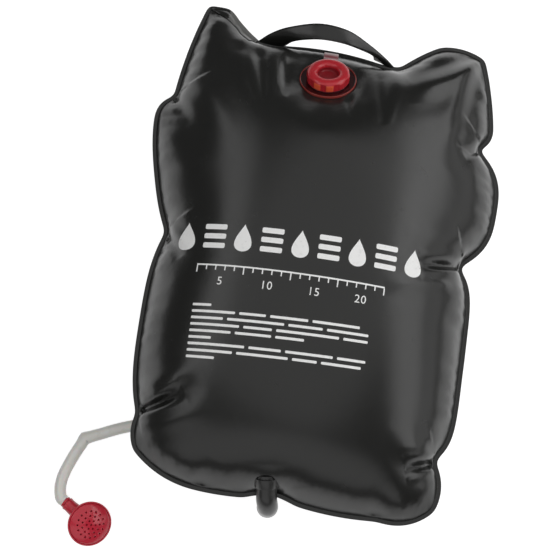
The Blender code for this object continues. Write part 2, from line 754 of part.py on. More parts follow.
def build_spigot(mouth, away, red, seal_material):
    """The fixed half of the tap: a hollow plug with side ports and a closed nose."""
    groove = SPIGOT_RADIUS - ORING_SECTION * ORING_SEAT_SHARE
    nose_width, nose_rise = SPIGOT_NOSE_SHARES
    tip = -SPIGOT_LENGTH
    set_low = -ORING_SETBACK - ORING_SECTION / 2 - CLEAR
    set_high = -ORING_SETBACK + ORING_SECTION / 2 + CLEAR
    collar_low = CLEAR
    collar_high = CLEAR + SPIGOT_COLLAR
    place = frame_along(mouth, away, Vector((0, 0, 1)))
    profile = [(0.0, tip), (SPIGOT_RADIUS * nose_width, tip),
               (SPIGOT_RADIUS, tip + SPIGOT_RADIUS * nose_rise),
               (SPIGOT_RADIUS, set_low), (groove, set_low), (groove, set_high),
               (SPIGOT_RADIUS, set_high), (SPIGOT_RADIUS, collar_low),
               (HOSE_DIAMETER / 2, collar_low), (HOSE_DIAMETER / 2, collar_high),
               (SPIGOT_BORE_RADIUS, collar_high),
               (SPIGOT_BORE_RADIUS, tip + SPIGOT_RADIUS), (0.0, tip + SPIGOT_RADIUS)]
    spigot = turned("valve_spigot", profile, SMALL_STEPS, red, place)
    port_z = tip + SPIGOT_RADIUS + PORT_RADIUS + HEAD_WALL / 2
    for index, side in enumerate((Vector((1, 0, 0)), Vector((0, 1, 0)))):
        centre = place @ Vector((0, 0, port_z))
        port_place = frame_along(centre, place.to_3x3() @ side, away)
        reach = SPIGOT_RADIUS + CUT_OVERRUN
        port = turned(f"cut port {index}", [(0.0, -reach), (PORT_RADIUS, -reach),
                                            (PORT_RADIUS, reach), (0.0, reach)], FINE_STEPS, red,
                      port_place)
        boolean(spigot, port)
    radius = groove + CLEAR + ORING_SECTION / 2
    ring = []
    for step in range(ORING_STEPS):
        angle = 2 * pi * step / ORING_STEPS
        ring.append((radius + ORING_SECTION / 2 * cos(angle),
                     -ORING_SETBACK + ORING_SECTION / 2 * sin(angle)))
    turned("spigot_oring", ring, SMALL_STEPS, seal_material, place)
    return mouth + away * (collar_high + CLEAR), away


def build():
    clear_scene()
    MATERIALS.update({
        "black": make_material("black PVC sheet", (0.022, 0.022, 0.021), 0.38),
        "grey": make_material("grey PVC sheet", (0.42, 0.42, 0.41), 0.5),
        "moulded black": make_material("black vinyl", (0.02, 0.02, 0.02), 0.35),
        "red": make_material("red plastic", (0.52, 0.02, 0.035), 0.3),
        "rubber": make_material("dark rubber", (0.03, 0.03, 0.03), 0.7),
        "hose": make_material("clear vinyl hose", (0.62, 0.60, 0.56), 0.3),
    })
    outline = seam_outline()
    front = sheet_object("front_panel", outline, SEAM_HEIGHT + CLEAR / 2, front_height,
                         MATERIALS["black"])
    back = sheet_object("back_panel", outline, SEAM_HEIGHT - CLEAR / 2, back_height,
                        MATERIALS["grey"])
    placement = filler_placement()
    ring_outer, ring_base, lip_top = build_filler(placement, MATERIALS["red"])
    room_profile = [(0.0, -NECK_DEPTH - CLEAR), (NECK_RADIUS + CLEAR, -NECK_DEPTH - CLEAR),
                    (NECK_RADIUS + CLEAR, -CLEAR), (DISH_RADIUS + CLEAR, -CLEAR),
                    (DISH_RADIUS + CLEAR, DISH_RADIUS), (0.0, DISH_RADIUS)]
    room = turned("cut filler room", room_profile, WIDE_STEPS, MATERIALS["black"], placement)
    boolean(front, room)
    build_tether_strap(front, placement, ring_outer, ring_base, lip_top, MATERIALS["red"])
    build_handle_ply("handle_front_ply", CLEAR / 2, CLEAR / 2 + HANDLE_PLY, MATERIALS["black"])
    build_handle_ply("handle_back_ply", -CLEAR / 2 - HANDLE_PLY, -CLEAR / 2, MATERIALS["grey"])
    build_outlet(front, back, MATERIALS["moulded black"])
    hose_end, away = build_head(MATERIALS["red"], MATERIALS["rubber"])
    build_hose(hose_end, away, MATERIALS["hose"])


MATERIALS = {}
build()
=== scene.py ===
from math import atan2, cos, exp, hypot, pi, radians, sin, sqrt
import bpy
import bmesh
import numpy as np
from mathutils import Matrix, Vector, geometry, noise
from mathutils.bvhtree import BVHTree


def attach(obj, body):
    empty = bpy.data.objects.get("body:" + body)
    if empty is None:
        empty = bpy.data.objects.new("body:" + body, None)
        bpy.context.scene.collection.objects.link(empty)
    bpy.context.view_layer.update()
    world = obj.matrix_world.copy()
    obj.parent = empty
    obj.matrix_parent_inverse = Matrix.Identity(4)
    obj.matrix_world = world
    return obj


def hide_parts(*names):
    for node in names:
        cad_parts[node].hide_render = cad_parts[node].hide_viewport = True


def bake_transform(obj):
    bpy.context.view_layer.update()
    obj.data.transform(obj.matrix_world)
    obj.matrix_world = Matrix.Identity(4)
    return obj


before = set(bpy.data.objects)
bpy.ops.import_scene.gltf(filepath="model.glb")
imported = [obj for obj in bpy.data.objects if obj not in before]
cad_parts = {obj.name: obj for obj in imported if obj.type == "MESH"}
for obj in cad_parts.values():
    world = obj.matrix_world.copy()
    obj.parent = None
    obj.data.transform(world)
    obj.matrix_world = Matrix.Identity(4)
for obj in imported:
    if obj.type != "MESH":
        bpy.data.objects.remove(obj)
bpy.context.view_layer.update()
MM = 0.001
scene = bpy.context.scene

# Helpers for objects and placements


def new_object(name, data):
    obj = bpy.data.objects.new(name, data)
    scene.collection.objects.link(obj)
    return obj


def new_mesh(name, verts, faces, material=None, smooth=True):
    mesh = bpy.data.meshes.new(name)
    mesh.from_pydata([tuple(v) for v in verts], [], [tuple(f) for f in faces])
    mesh.update()
    if smooth:
        mesh.shade_smooth()
    if material is not None:
        mesh.materials.append(material)
    return new_object(name, mesh)


def axes_at(origin, x, y, z):
    return Matrix.Translation(origin) @ Matrix((x, y, z)).transposed().to_4x4()


def place_at(origin, z_axis, side=Vector((0, 0, 1))):
    """The place with this Z axis, and with its X axis as near to side as it can be."""
    z = z_axis.normalized()
    x = (side - z * side.dot(z)).normalized()
    return axes_at(origin, x, z.cross(x), z)


# Camera

CAMERA_PLACE = (-0.0277, -0.31538, 1.43267)
CAMERA_RIGHT = Vector((0.98769, 0.15302, 0.03252))
CAMERA_UP = Vector((-0.15643, 0.96610, 0.20535))
CAMERA_BACK = Vector((0.0, -0.20791, 0.97815))

cam_data = bpy.data.cameras.new("camera")
cam_data.lens = 85.0
cam_data.sensor_width = 36.0
cam_data.clip_end = 20.0
cam = new_object("camera", cam_data)
cam.matrix_world = axes_at(CAMERA_PLACE, CAMERA_RIGHT, CAMERA_UP, CAMERA_BACK)
scene.camera = cam

# Materials


class Nodes:
    """A short way to write a node material."""

    def __init__(self, name):
        self.material = bpy.data.materials.new(name)
        self.material.use_nodes = True
        self.tree = self.material.node_tree
        self.where = self.add("ShaderNodeTexCoord").outputs["Object"]

    def add(self, kind, **settings):
        node = self.tree.nodes.new(kind)
        for key, value in settings.items():
            setattr(node, key, value)
        return node

    def put(self, slot, value):
        """Link a node's output to a slot, or set a plain number or colour there."""
        if isinstance(value, bpy.types.NodeSocket):
            self.tree.links.new(value, slot)
        else:
            slot.default_value = (*value, 1.0) if isinstance(value, tuple) else value

    def fill(self, node, values):
        for key, value in values.items():
            self.put(node.inputs[key.replace("_", " ")], value)
        return node.outputs

    def math(self, operation, *values, clamp=False):
        node = self.add("ShaderNodeMath", operation=operation, use_clamp=clamp)
        for slot, value in zip(node.inputs, values):
            self.put(slot, value)
        return node.outputs[0]

    def mix(self, factor, a, b):
        node = self.add("ShaderNodeMix", data_type="RGBA")
        for index, value in ((0, factor), (6, a), (7, b)):
            self.put(node.inputs[index], value)
        return node.outputs[2]

    def noise(self, scale, detail=3.0, roughness=0.5, distortion=0.0):
        return self.fill(self.add("ShaderNodeTexNoise"), dict(
            Vector=self.where, Scale=scale, Detail=detail, Roughness=roughness,
            Distortion=distortion))["Fac"]

    def spread(self, value, low, high):
        """Map a 0 to 1 value to a range."""
        return self.fill(self.add("ShaderNodeMapRange"),
                         dict(Value=value, To_Min=low, To_Max=high))[0]

    def bump(self, height, strength, distance, **more):
        return self.fill(self.add("ShaderNodeBump"), dict(
            Height=height, Strength=strength, Distance=distance, **more))["Normal"]

    def look(self, **values):
        """Fill in the shader's own sockets, and give the material."""
        self.fill(self.tree.nodes["Principled BSDF"], values)
        return self.material


def sheet_material(name, base, light, rough_low, rough_high, grain):
    """Satin PVC sheet: fine pebble grain, soft scuffs and a slow change of tone."""
    n = Nodes(name)
    pebble = n.noise(140.0, 4.0, 0.6)
    scuff = n.math("SUBTRACT", n.noise(46.0, 6.0, 0.7, 0.8), 0.58, clamp=True)
    scuff = n.math("SMOOTH_MIN", n.math("MULTIPLY", scuff, 4.0), 1.0, 0.2)
    tone = n.mix(n.math("MULTIPLY", n.noise(9.0, 3.0, 0.55), 0.6), base, light)
    return n.look(
        Base_Color=n.mix(n.math("MULTIPLY", scuff, 0.25), tone, light),
        Roughness=n.math("ADD", n.spread(pebble, rough_low, rough_high),
                         n.math("MULTIPLY", scuff, 0.08)),
        Normal=n.bump(n.noise(1500.0, 2.0, 0.6), grain, 0.00012,
                      Normal=n.bump(pebble, 0.10, 0.0006)))


def plastic_material(name, base, deep, rough):
    """Glossy moulded plastic: faint flow tone and tiny orange peel."""
    n = Nodes(name)
    flow = n.math("MULTIPLY", n.noise(60.0, 3.0, 0.5, 0.6), 0.48)
    return n.look(Base_Color=n.mix(flow, base, deep),
                  Roughness=n.spread(n.noise(900.0, 3.0, 0.7), rough * 0.8, rough * 1.35),
                  Normal=n.bump(n.noise(420.0, 2.0), 0.06, 0.0004))


MAT_BLACK = sheet_material("black_sheet", (0.009, 0.009, 0.008), (0.015, 0.0155, 0.0145),
                           0.20, 0.28, 0.30)
# The turned-up edge of the grey back sheet: the grey sheet's colour made about four times darker,
# as painted shade.
MAT_FLAP_PAINTED_SHADE = sheet_material("grey_flap_painted_shade", (0.085, 0.085, 0.080), (0.17, 0.17, 0.165), 0.30, 0.42, 0.35)
MAT_GREY = sheet_material("grey_sheet", (0.38, 0.38, 0.37), (0.47, 0.47, 0.46), 0.45, 0.60, 0.35)
MAT_RED = plastic_material("red_moulding", (0.60, 0.026, 0.050), (0.50, 0.016, 0.036), 0.16)
MAT_CAP = plastic_material("red_cap", (0.50, 0.020, 0.030), (0.41, 0.012, 0.022), 0.22)
# Brighter orange red for the two front grips: painted light shining through thin plastic.
MAT_CAP_PAINTED_GLOW = plastic_material("red_cap_painted_glow", (0.80, 0.115, 0.045), (0.68, 0.065, 0.030), 0.22)
MAT_LIP = plastic_material("red_lip", (0.30, 0.040, 0.030), (0.12, 0.012, 0.012), 0.16)
# Darker red for the recess in the cap's crown: painted shade.
MAT_CAP_PAINTED_SHADE = plastic_material("red_cap_painted_shade", (0.24, 0.009, 0.015), (0.17, 0.006, 0.010), 0.26)
MAT_DISH = plastic_material("red_dish", (0.034, 0.005, 0.006), (0.020, 0.004, 0.005), 0.08)

n = Nodes("clear_hose")
MAT_HOSE = n.look(Base_Color=n.mix(n.noise(26.0, 2.0), (0.74, 0.72, 0.67), (0.84, 0.83, 0.79)),
                  Roughness=n.spread(n.noise(90.0), 0.24, 0.32), Subsurface_Weight=0.25,
                  Subsurface_Scale=0.003, Coat_Weight=0.3, Coat_Roughness=0.15)
n = Nodes("seal_rubber")
MAT_RUBBER = n.look(Roughness=0.55, Base_Color=n.mix(
    n.noise(300.0, 3.0, 0.6), (0.020, 0.019, 0.018), (0.040, 0.038, 0.036)))
n = Nodes("tether_vinyl")
haze = n.noise(260.0, 3.0, 0.6)
MAT_TETHER = n.look(Base_Color=n.mix(haze, (0.150, 0.013, 0.020), (0.215, 0.026, 0.036)),
                    Roughness=n.spread(haze, 0.28, 0.42), Coat_Weight=0.2, Coat_Roughness=0.2)
n = Nodes("black_vinyl")
MAT_VINYL = n.look(
    Base_Color=n.mix(n.noise(55.0, 4.0, 0.6), (0.014, 0.014, 0.014), (0.030, 0.030, 0.029)),
    Roughness=n.spread(n.noise(330.0, 3.0, 0.6), 0.24, 0.38),
    Normal=n.bump(n.noise(240.0, 3.0, 0.6), 0.08, 0.0004))
n = Nodes("white_ink")
wear = n.math("SUBTRACT", n.noise(210.0, 5.0, 0.7), 0.55, clamp=True)
MAT_INK = n.look(Roughness=0.55, Base_Color=n.mix(
    n.math("MULTIPLY", wear, 1.8), (0.93, 0.93, 0.92), (0.50, 0.50, 0.49)))

# Helpers for shapes

SHARP = radians(38)


def smooth_points(route, count):
    """Points at equal steps along a smooth curve through the route's own points."""
    line = [route[0] * 2 - route[1]] + list(route) + [route[-1] * 2 - route[-2]]
    fine = []
    for a, b, c, d in zip(line, line[1:], line[2:], line[3:]):
        for part in range(24):
            t = part / 24
            fine.append(0.5 * (2 * b + (c - a) * t + (2 * a - 5 * b + 4 * c - d) * t * t
                               + (3 * b - a - 3 * c + d) * t ** 3))
    fine.append(route[-1].copy())
    lengths = [0.0]
    for a, b in zip(fine, fine[1:]):
        lengths.append(lengths[-1] + (b - a).length)
    points = []
    index = 0
    for step in range(count):
        want = lengths[-1] * step / (count - 1)
        while index < len(fine) - 2 and lengths[index + 1] < want:
            index += 1
        span = lengths[index + 1] - lengths[index]
        points.append(fine[index].lerp(fine[index + 1], (want - lengths[index]) / span))
    return points


def smooth_path(route, count):
    """The same for a route in plan, in mm."""
    return smooth_points([Vector((x, y, 0)) * MM for x, y in route], count)


def between(rows, closed=True):
    """Four-sided faces that join each row of point numbers to the next."""
    faces = []
    for low, high in zip(rows, rows[1:]):
        for i in range(len(low) - (not closed)):
            j = (i + 1) % len(low)
            faces.append((low[i], low[j], high[j], high[i]))
    return faces


def numbered(rows):
    """The point numbers of rows of points, counted from 0."""
    width = len(rows[0])
    return [range(i * width, (i + 1) * width) for i in range(len(rows))]


def loft(name, rings, material):
    """A skin over rings of points, each ring closed, with both ends filled."""
    rows = numbered(rings)
    ends = [tuple(rows[0])[::-1], tuple(rows[-1])]
    return new_mesh(name, [p for ring in rings for p in ring], between(rows) + ends, material)


def tube_rings(points, radius_at, sides):
    """Rings along a path. radius_at(share, angle) gives the radius."""
    rings = []
    side = Vector((1, 0, 0))
    last = len(points) - 1
    for index, point in enumerate(points):
        run = (points[min(last, index + 1)] - points[max(0, index - 1)]).normalized()
        side = (side - run * side.dot(run)).normalized()
        up = run.cross(side)
        ring = []
        for step in range(sides):
            angle = 2 * pi * step / sides
            ring.append(point + (side * cos(angle) + up * sin(angle))
                        * radius_at(index / last, angle))
        rings.append(ring)
    return rings


def turned(name, profile, steps, place, material, radius_at=None):
    """Turn a closed or open profile of (radius, height) in mm about the place's own Z."""
    verts, rows = [], []
    for r, z in profile:
        if r <= 1e-6:
            rows.append([len(verts)] * steps)
            verts.append(place @ Vector((0, 0, z * MM)))
            continue
        rows.append(range(len(verts), len(verts) + steps))
        for step in range(steps):
            angle = 2 * pi * step / steps
            reach = (radius_at(r, z, angle) if radius_at else r) * MM
            verts.append(place @ Vector((reach * cos(angle), reach * sin(angle), z * MM)))
    faces = [list(dict.fromkeys(face)) for face in between(rows)]
    obj = new_mesh(name, verts, [face for face in faces if len(face) > 2], material)
    obj.data.set_sharp_from_angle(angle=SHARP)
    return obj


def arc(centre_r, centre_z, radius_r, radius_z, start, end, steps):
    """Points of a profile along an arc, in degrees."""
    angles = [radians(start + (end - start) * step / steps) for step in range(steps + 1)]
    return [(centre_r + radius_r * cos(a), centre_z + radius_z * sin(a)) for a in angles]


def flat_ring(inner, outer, low, high):
    """The profile of a flat ring."""
    return [(inner, low), (outer, low), (outer, high), (inner, high), (inner, low)]


def triangles(points, edges, wanted, near):
    """Triangles between flat points, where wanted says so of their middles."""
    out = geometry.delaunay_2d_cdt(points, edges, [], 0, near)
    flat = np.array([tuple(p) for p in out[0]])
    keep = wanted(np.array([flat[list(f)].mean(0) for f in out[2]]))
    return flat, [tuple(f) for f, k in zip(out[2], keep) if k]


def points_of(mesh):
    points = np.empty(len(mesh.vertices) * 3)
    mesh.vertices.foreach_get("co", points)
    return points.reshape(-1, 3)


# Hose

HOSE_DIAMETER = 12.5 * MM
BAG_LENGTH = 525 * MM
LOWER_END = Vector((0, -BAG_LENGTH / 2, 0))
# The elbow and the hose are laid out from the bag's lower end, as in the part's source.
HOSE_ROUTE = [LOWER_END + Vector(p) * MM for p in (
    (-4.0, 2.0, 61.7), (-4.0, 2.1, 46.0), (-4.6, 4.9, 29.0), (-7.6, 13.0, 15.2),
    (-14.5, 26.0, 8.2), (-26.0, 43.0, 6.7), (-43.5, 58.5, 6.6), (-66.0, 68.5, 6.6),
    (-93.0, 73.7, 6.6), (-121.0, 74.1, 6.6), (-147.0, 70.5, 6.6), (-170.0, 62.9, 6.6),
    (-190.0, 53.7, 6.6), (-205.2, 44.9, 6.6), (-213.4, 31.0, 6.6), (-219.4, 15.5, 6.6),
    (-223.0, 2.5, 6.7), (-223.6, -9.5, 7.3))]
CORNER = HOSE_ROUTE[13]
KINK_OUT = Vector((-0.80, 0.60, 0.0)) * 2.4 * MM
KINK_SPREAD = 0.014
HOSE_POINTS = 37
HOSE_FINE_POINTS = 260
HOSE_SIDES = 28

SLEEVE_TURN = radians(147.5)
SLEEVE_AWAY = Vector((cos(SLEEVE_TURN), sin(SLEEVE_TURN), 0.0))
SLEEVE_REACH = 31 * MM
SLEEVE_HEIGHT = 8.4 * MM
HEAD_TILT = radians(26.9)
HEAD_TURN = radians(-24.6)
HEAD_LEAN = Vector((cos(HEAD_TURN), sin(HEAD_TURN), 0))
HEAD_NORMAL = HEAD_LEAN * sin(HEAD_TILT) + Vector((0, 0, cos(HEAD_TILT)))
HEAD_RADIUS = 23.6 * MM
HEAD_DEPTH = 10 * MM
BOWL_SHARES = ((0.88, 0.52), (0.62, 0.84), (0.33, 1.0))
head_rest = max(r * sin(HEAD_TILT) + d * cos(HEAD_TILT) for r, d in
                [(HEAD_RADIUS, 0.0), (HEAD_RADIUS, 2.4 * MM)]
                + [(HEAD_RADIUS * r, HEAD_DEPTH * d) for r, d in BOWL_SHARES])
HEAD_CENTRE = Vector((-184.9 * MM, -304.8 * MM, head_rest))
SLEEVE_ROOT = HEAD_CENTRE - HEAD_NORMAL * ((head_rest - SLEEVE_HEIGHT) / HEAD_NORMAL.z)
HOSE_END = SLEEVE_ROOT + SLEEVE_AWAY * (SLEEVE_REACH + 3.1 * MM)

hose_points = smooth_points(HOSE_ROUTE + [HOSE_END + SLEEVE_AWAY * 5 * MM],
                            HOSE_POINTS) + [HOSE_END]
fine_points = smooth_points(hose_points, HOSE_FINE_POINTS)
last = len(fine_points) - 1
KINK = min(range(last + 1), key=lambda i: (fine_points[i] - CORNER).length) / last
fine_points = [point + KINK_OUT * exp(-abs(index / last - KINK) / KINK_SPREAD)
               for index, point in enumerate(fine_points)]


def hose_radius(share, angle):
    """The hose is pressed flat and wide where it kinks."""
    near = exp(-abs(share - KINK) / KINK_SPREAD)
    return HOSE_DIAMETER / 2 * (1.0 + 0.20 * near * cos(angle) ** 2 - 0.16 * near * sin(angle) ** 2)


hose = loft("hose_tube", tube_rings(fine_points, hose_radius, HOSE_SIDES), MAT_HOSE)
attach(hose, "root")
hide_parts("hose")

# Bag

# The weld, clockwise from the left ear: place in plan, bulge of the stretch that follows as a
# share of its chord, how square that bulge is, and the same corner on the flat pattern (mm).
SEAM = (
    (-151.2, 262.5, 0.02, 2.0, -181.0, 283.0),
    (-125.7, 262.5, -0.05, 2.0, -153.0, 284.0),
    (-92.0, 231.3, 0.00, 2.0, -108.0, 262.0),
    (-62.4, 230.2, 0.04, 2.0, -78.0, 260.0),
    (43.7, 226.8, 0.00, 2.0, 34.0, 258.0),
    (65.0, 226.0, 0.03, 2.0, 58.0, 256.0),
    (105.3, 256.2, 0.10, 2.0, 102.0, 278.0),
    (155.9, 250.2, 0.03, 2.0, 162.0, 276.0),
    (174.8, 168.0, 0.14, 2.0, 204.0, 188.0),
    (162.0, 147.0, 0.225, 3.0, 206.0, 160.0),
    (156.7, 15.5, 0.085, 6.0, 200.0, 10.0),
    (157.8, -189.0, 0.13, 2.0, 192.0, -201.0),
    (163.5, -240.2, 0.14, 2.0, 186.0, -254.0),
    (106.4, -258.8, 0.03, 2.0, 120.0, -276.0),
    (24.0, -256.4, -0.03, 2.0, 28.0, -276.0),
    (-4.0, -248.6, -0.03, 2.0, -2.0, -274.0),
    (-30.0, -255.8, 0.02, 2.0, -32.0, -276.0),
    (-76.4, -256.2, 0.09, 2.0, -84.0, -276.0),
    (-148.4, -225.8, 0.11, 2.0, -170.0, -248.0),
    (-152.0, -188.2, 0.062, 3.2, -188.0, -202.0),
    (-155.2, 4.2, 0.045, 2.6, -198.0, -4.0),
    (-188.1, 126.0, 0.16, 2.0, -207.0, 124.0),
    (-171.4, 154.1, 0.03, 2.0, -206.0, 162.0),
)
SEAM_HEIGHT = 78 * MM
WELD_WIDTH = 4.2 * MM
FILLER_CENTRE = Vector((-10.5, 185.0, 113.0)) * MM
FILLER_NORMAL = Vector((-0.0900667, 0.5075384, 0.8569083)).normalized()
FILLER_HOLE = 16 * MM
DISH_RADIUS = 30 * MM
FLAT_FADE = 44 * MM
SHEET_STEP = 8 * MM
SHEET_HALF = 0.35 * MM
CROWN_HEIGHT = 82 * MM
BACK_CROWN = SEAM_HEIGHT * 1.12
CROWN_POWER = 0.5
# The welded band from the inner weld line to the lip: share of its width, height above the
# middle of the weld (mm)
BAND = ((0.08, 0.0), (0.50, 0.05), (0.84, 0.08), (0.92, 0.40), (0.98, 0.35), (1.0, -0.20))
# Where the sheet has most slack, in plan, and how far that reaches (mm)
SLACK = ((162.0, 147.0, 60), (156.7, 15.5, 70), (157.8, -189.0, 70), (106.4, -258.8, 45),
         (-76.4, -256.2, 40), (-152.0, -188.2, 60), (-155.2, 4.2, 60), (-171.4, 154.1, 50),
         (-92.0, 231.0, 50), (65.0, 226.0, 50), (-60.0, 205.0, 40), (45.0, 195.0, 45))
# How the cloth swells: slack lets it grow by 0.1 % to 2.2 %
CLOTH_FRAMES = 30
CLOTH = dict(
    vertex_group_mass="pin", vertex_group_shrink="slack", shrink_min=-0.001, shrink_max=-0.022,
    pin_stiffness=1.0, quality=6, mass=0.05, air_damping=1.5, tension_stiffness=80.0,
    compression_stiffness=80.0, shear_stiffness=20.0, bending_stiffness=12.0,
    tension_damping=8.0, compression_damping=8.0, shear_damping=8.0, bending_damping=0.5,
    use_pressure=True, uniform_pressure_force=60.0)
# Creases of the front sheet: points in plan (mm), depth (mm, negative for a ridge), width
# (mm), how fast the depth fades, how the width changes towards the end, and the share of the
# line over which the crease begins. A begin of 0 is a notch's slit, whose walls draw together.
CREASES = (
    # Right upper notch and the ear above it
    (((162, 147), (146, 130), (126, 100)), 6.0, 13.0, 1.3, 0.5, 0.02),
    (((165, 148), (152, 135), (141, 126)), 6.0, 4.6, 0.6, 0.3, 0.0),
    (((152, 246), (147, 210), (143, 170), (140, 132)), 4.0, 9.0, 0.3, 0.3, 0.15),
    (((158, 250), (124, 213), (90, 191), (58, 177)), -6.5, 11.0, 0.8, 0.8, 0.14),
    (((140, 250), (114, 230), (92, 213), (72, 200)), 4.0, 9.0, 0.6, 0.3, 0.2),
    (((150, 240), (128, 190), (112, 146)), -2.5, 10.0, 0.6, 0.6, 0.2),
    # Right middle notch
    (((158, 15.5), (134, 5), (98, -7)), 7.0, 13.0, 1.2, 0.4, 0.02),
    (((161, 15.5), (136, 6), (108, -2)), 9.0, 4.6, 0.5, 0.4, 0.0),
    (((150, -14), (126, -19), (98, -26), (76, -33)), -3.5, 6.0, 0.8, 0.3, 0.2),
    # Right lower notch
    (((158, -189), (138, -199), (112, -212)), 5.0, 12.0, 1.2, 0.4, 0.02),
    (((162, -189), (144, -197), (124, -205)), 8.0, 4.6, 0.5, 0.4, 0.0),
    (((150, -178), (128, -183), (102, -184)), -3.0, 8.0, 0.8, 0.3, 0.2),
    # Left lower notch
    (((-152, -188), (-122, -174), (-86, -152)), 6.0, 11.0, 1.0, 0.6, 0.02),
    (((-157, -190), (-132, -179), (-106, -164)), 8.0, 4.4, 0.6, 0.5, 0.0),
    (((-148, -168), (-120, -154), (-92, -134)), -3.5, 9.0, 0.9, 0.3, 0.2),
    # Left middle notch
    (((-155, 4), (-144, -12), (-120, -42)), 6.0, 12.0, 1.2, 0.4, 0.02),
    (((-160, 8), (-146, -9), (-130, -28)), 8.0, 4.4, 0.6, 0.3, 0.0),
    # Left upper notch
    (((-171, 154), (-150, 118), (-126, 66)), 7.0, 15.0, 1.1, 0.4, 0.02),
    (((-175, 158), (-158, 134), (-144, 112)), 3.0, 5.0, 0.7, 0.5, 0.0),
    (((-142, 250), (-144, 212), (-150, 172)), -3.5, 11.0, 0.6, 0.3, 0.2),
    (((-126, 250), (-121, 214), (-124, 156)), 3.0, 12.0, 0.8, 0.5, 0.2),
    # Lower end
    (((106.4, -260), (103, -243), (98, -222)), 4.0, 11.0, 1.1, 0.4, 0.02),
    (((-76.4, -257), (-73, -243), (-66, -224)), 4.0, 11.0, 1.1, 0.4, 0.02),
    (((-6, -246), (-8, -236), (-10, -222)), -4.0, 15.0, 1.0, 0.4, 0.1),
    # Puckers beside the cap and below the handle's roots
    (((-92, 222), (-82, 190), (-73, 142)), 8.0, 12.0, 0.6, -0.75, 0.3),
    (((-62, 218), (-57, 186), (-51, 154)), 4.0, 9.0, 0.6, -0.75, 0.35),
    (((-110, 222), (-103, 180), (-99, 154)), 3.4, 9.0, 0.8, -0.7, 0.3),
    (((8, 190), (13, 168), (17, 138)), 3.2, 8.0, 0.6, -0.75, 0.3),
    (((44, 220), (47, 176), (52, 136)), 5.0, 12.0, 0.6, -0.75, 0.3),
    (((66, 222), (72, 200), (82, 168)), 5.0, 11.0, 1.0, 0.2, 0.15),
    (((-145, 256), (-120, 242), (-106, 222)), 2.5, 5.0, 0.6, 0.2, 0.15),
)


def seam_points(step):
    """Matching points of the weld in plan and on the flat pattern."""
    plan, flat = [], []
    for (x, y, bulge, power, u, v), (x2, y2, _, _, u2, v2) in zip(SEAM, SEAM[1:] + SEAM[:1]):
        a, b = np.array((x, y)) * MM, np.array((x2, y2)) * MM
        p, q = np.array((u, v)) * MM, np.array((u2, v2)) * MM
        chord = b - a
        outward = np.array((-chord[1], chord[0]))
        count = max(2, int(round(np.linalg.norm(q - p) / step)))
        for i in range(count):
            t = i / count
            plan.append(a + chord * t + outward * bulge * (1 - abs(2 * t - 1) ** power))
            flat.append(p + (q - p) * t)
    return np.array(plan), np.array(flat)


def smooth_loop(points, rounds=1):
    for _ in range(rounds):
        points = points * 0.5 + (np.roll(points, 1, 0) + np.roll(points, -1, 0)) * 0.25
    return points


def inset(points, width):
    """A clockwise loop moved inwards."""
    run = np.roll(points, -1, 0) - np.roll(points, 1, 0)
    run /= np.linalg.norm(run, axis=1)[:, None]
    inward = np.stack((run[:, 1], -run[:, 0]), 1)
    for _ in range(3):
        inward = smooth_loop(inward)
        inward /= np.linalg.norm(inward, axis=1)[:, None]
    return points + inward * width


def inside(points, loop):
    """Which points lie inside a closed loop."""
    x, y = points[:, 0][:, None], points[:, 1][:, None]
    x1, y1 = loop[:, 0][None], loop[:, 1][None]
    x2, y2 = np.roll(loop[:, 0], -1)[None], np.roll(loop[:, 1], -1)[None]
    cross = ((y1 > y) != (y2 > y)) & (x < (x2 - x1) * (y - y1) / (y2 - y1 + 1e-12) + x1)
    return cross.sum(1) % 2 == 1


def loop_distance(points, loop):
    ab = np.roll(loop, -1, 0) - loop
    best = np.empty(len(points))
    for start in range(0, len(points), 2000):
        p = points[start:start + 2000][:, None, :]
        t = np.clip(((p - loop) * ab).sum(2) / (ab * ab).sum(1), 0, 1)
        near = loop + ab * t[..., None]
        best[start:start + 2000] = np.sqrt(((p - near) ** 2).sum(2)).min(1)
    return best


def filler_plane(xy):
    """Height of the filler's flat, and how far across it each point is."""
    d = xy - np.array(FILLER_CENTRE[:2])
    z = FILLER_CENTRE.z - (FILLER_NORMAL.x * d[:, 0] + FILLER_NORMAL.y * d[:, 1]) / FILLER_NORMAL.z
    lift = z - FILLER_CENTRE.z
    return z, np.sqrt((d ** 2).sum(1) + lift ** 2)


def even_out(values, pairs, free, load=0.0):
    """Spread fixed values smoothly over the free points of a net (conjugate gradients)."""
    count = len(values)
    degree = np.bincount(pairs.ravel(), minlength=count).astype(float)[:, None]

    def apply(v):
        total = np.empty_like(v)
        for axis in range(v.shape[1]):
            total[:, axis] = np.bincount(pairs[:, 0], v[pairs[:, 1], axis], count) + \
                np.bincount(pairs[:, 1], v[pairs[:, 0], axis], count)
        return degree * v - total

    x = values.copy()
    x[free] = values[~free].mean(0)
    r = np.where(free[:, None], load - apply(x), 0.0)
    p = r.copy()
    old = (r * r).sum(0)
    for _ in range(600):
        q = np.where(free[:, None], apply(p), 0.0)
        alpha = old / np.maximum((p * q).sum(0), 1e-300)
        x += alpha * p
        r -= alpha * q
        new = (r * r).sum(0)
        if new.max() < 1e-16:
            break
        p = r + (new / np.maximum(old, 1e-300)) * p
        old = new
    return x


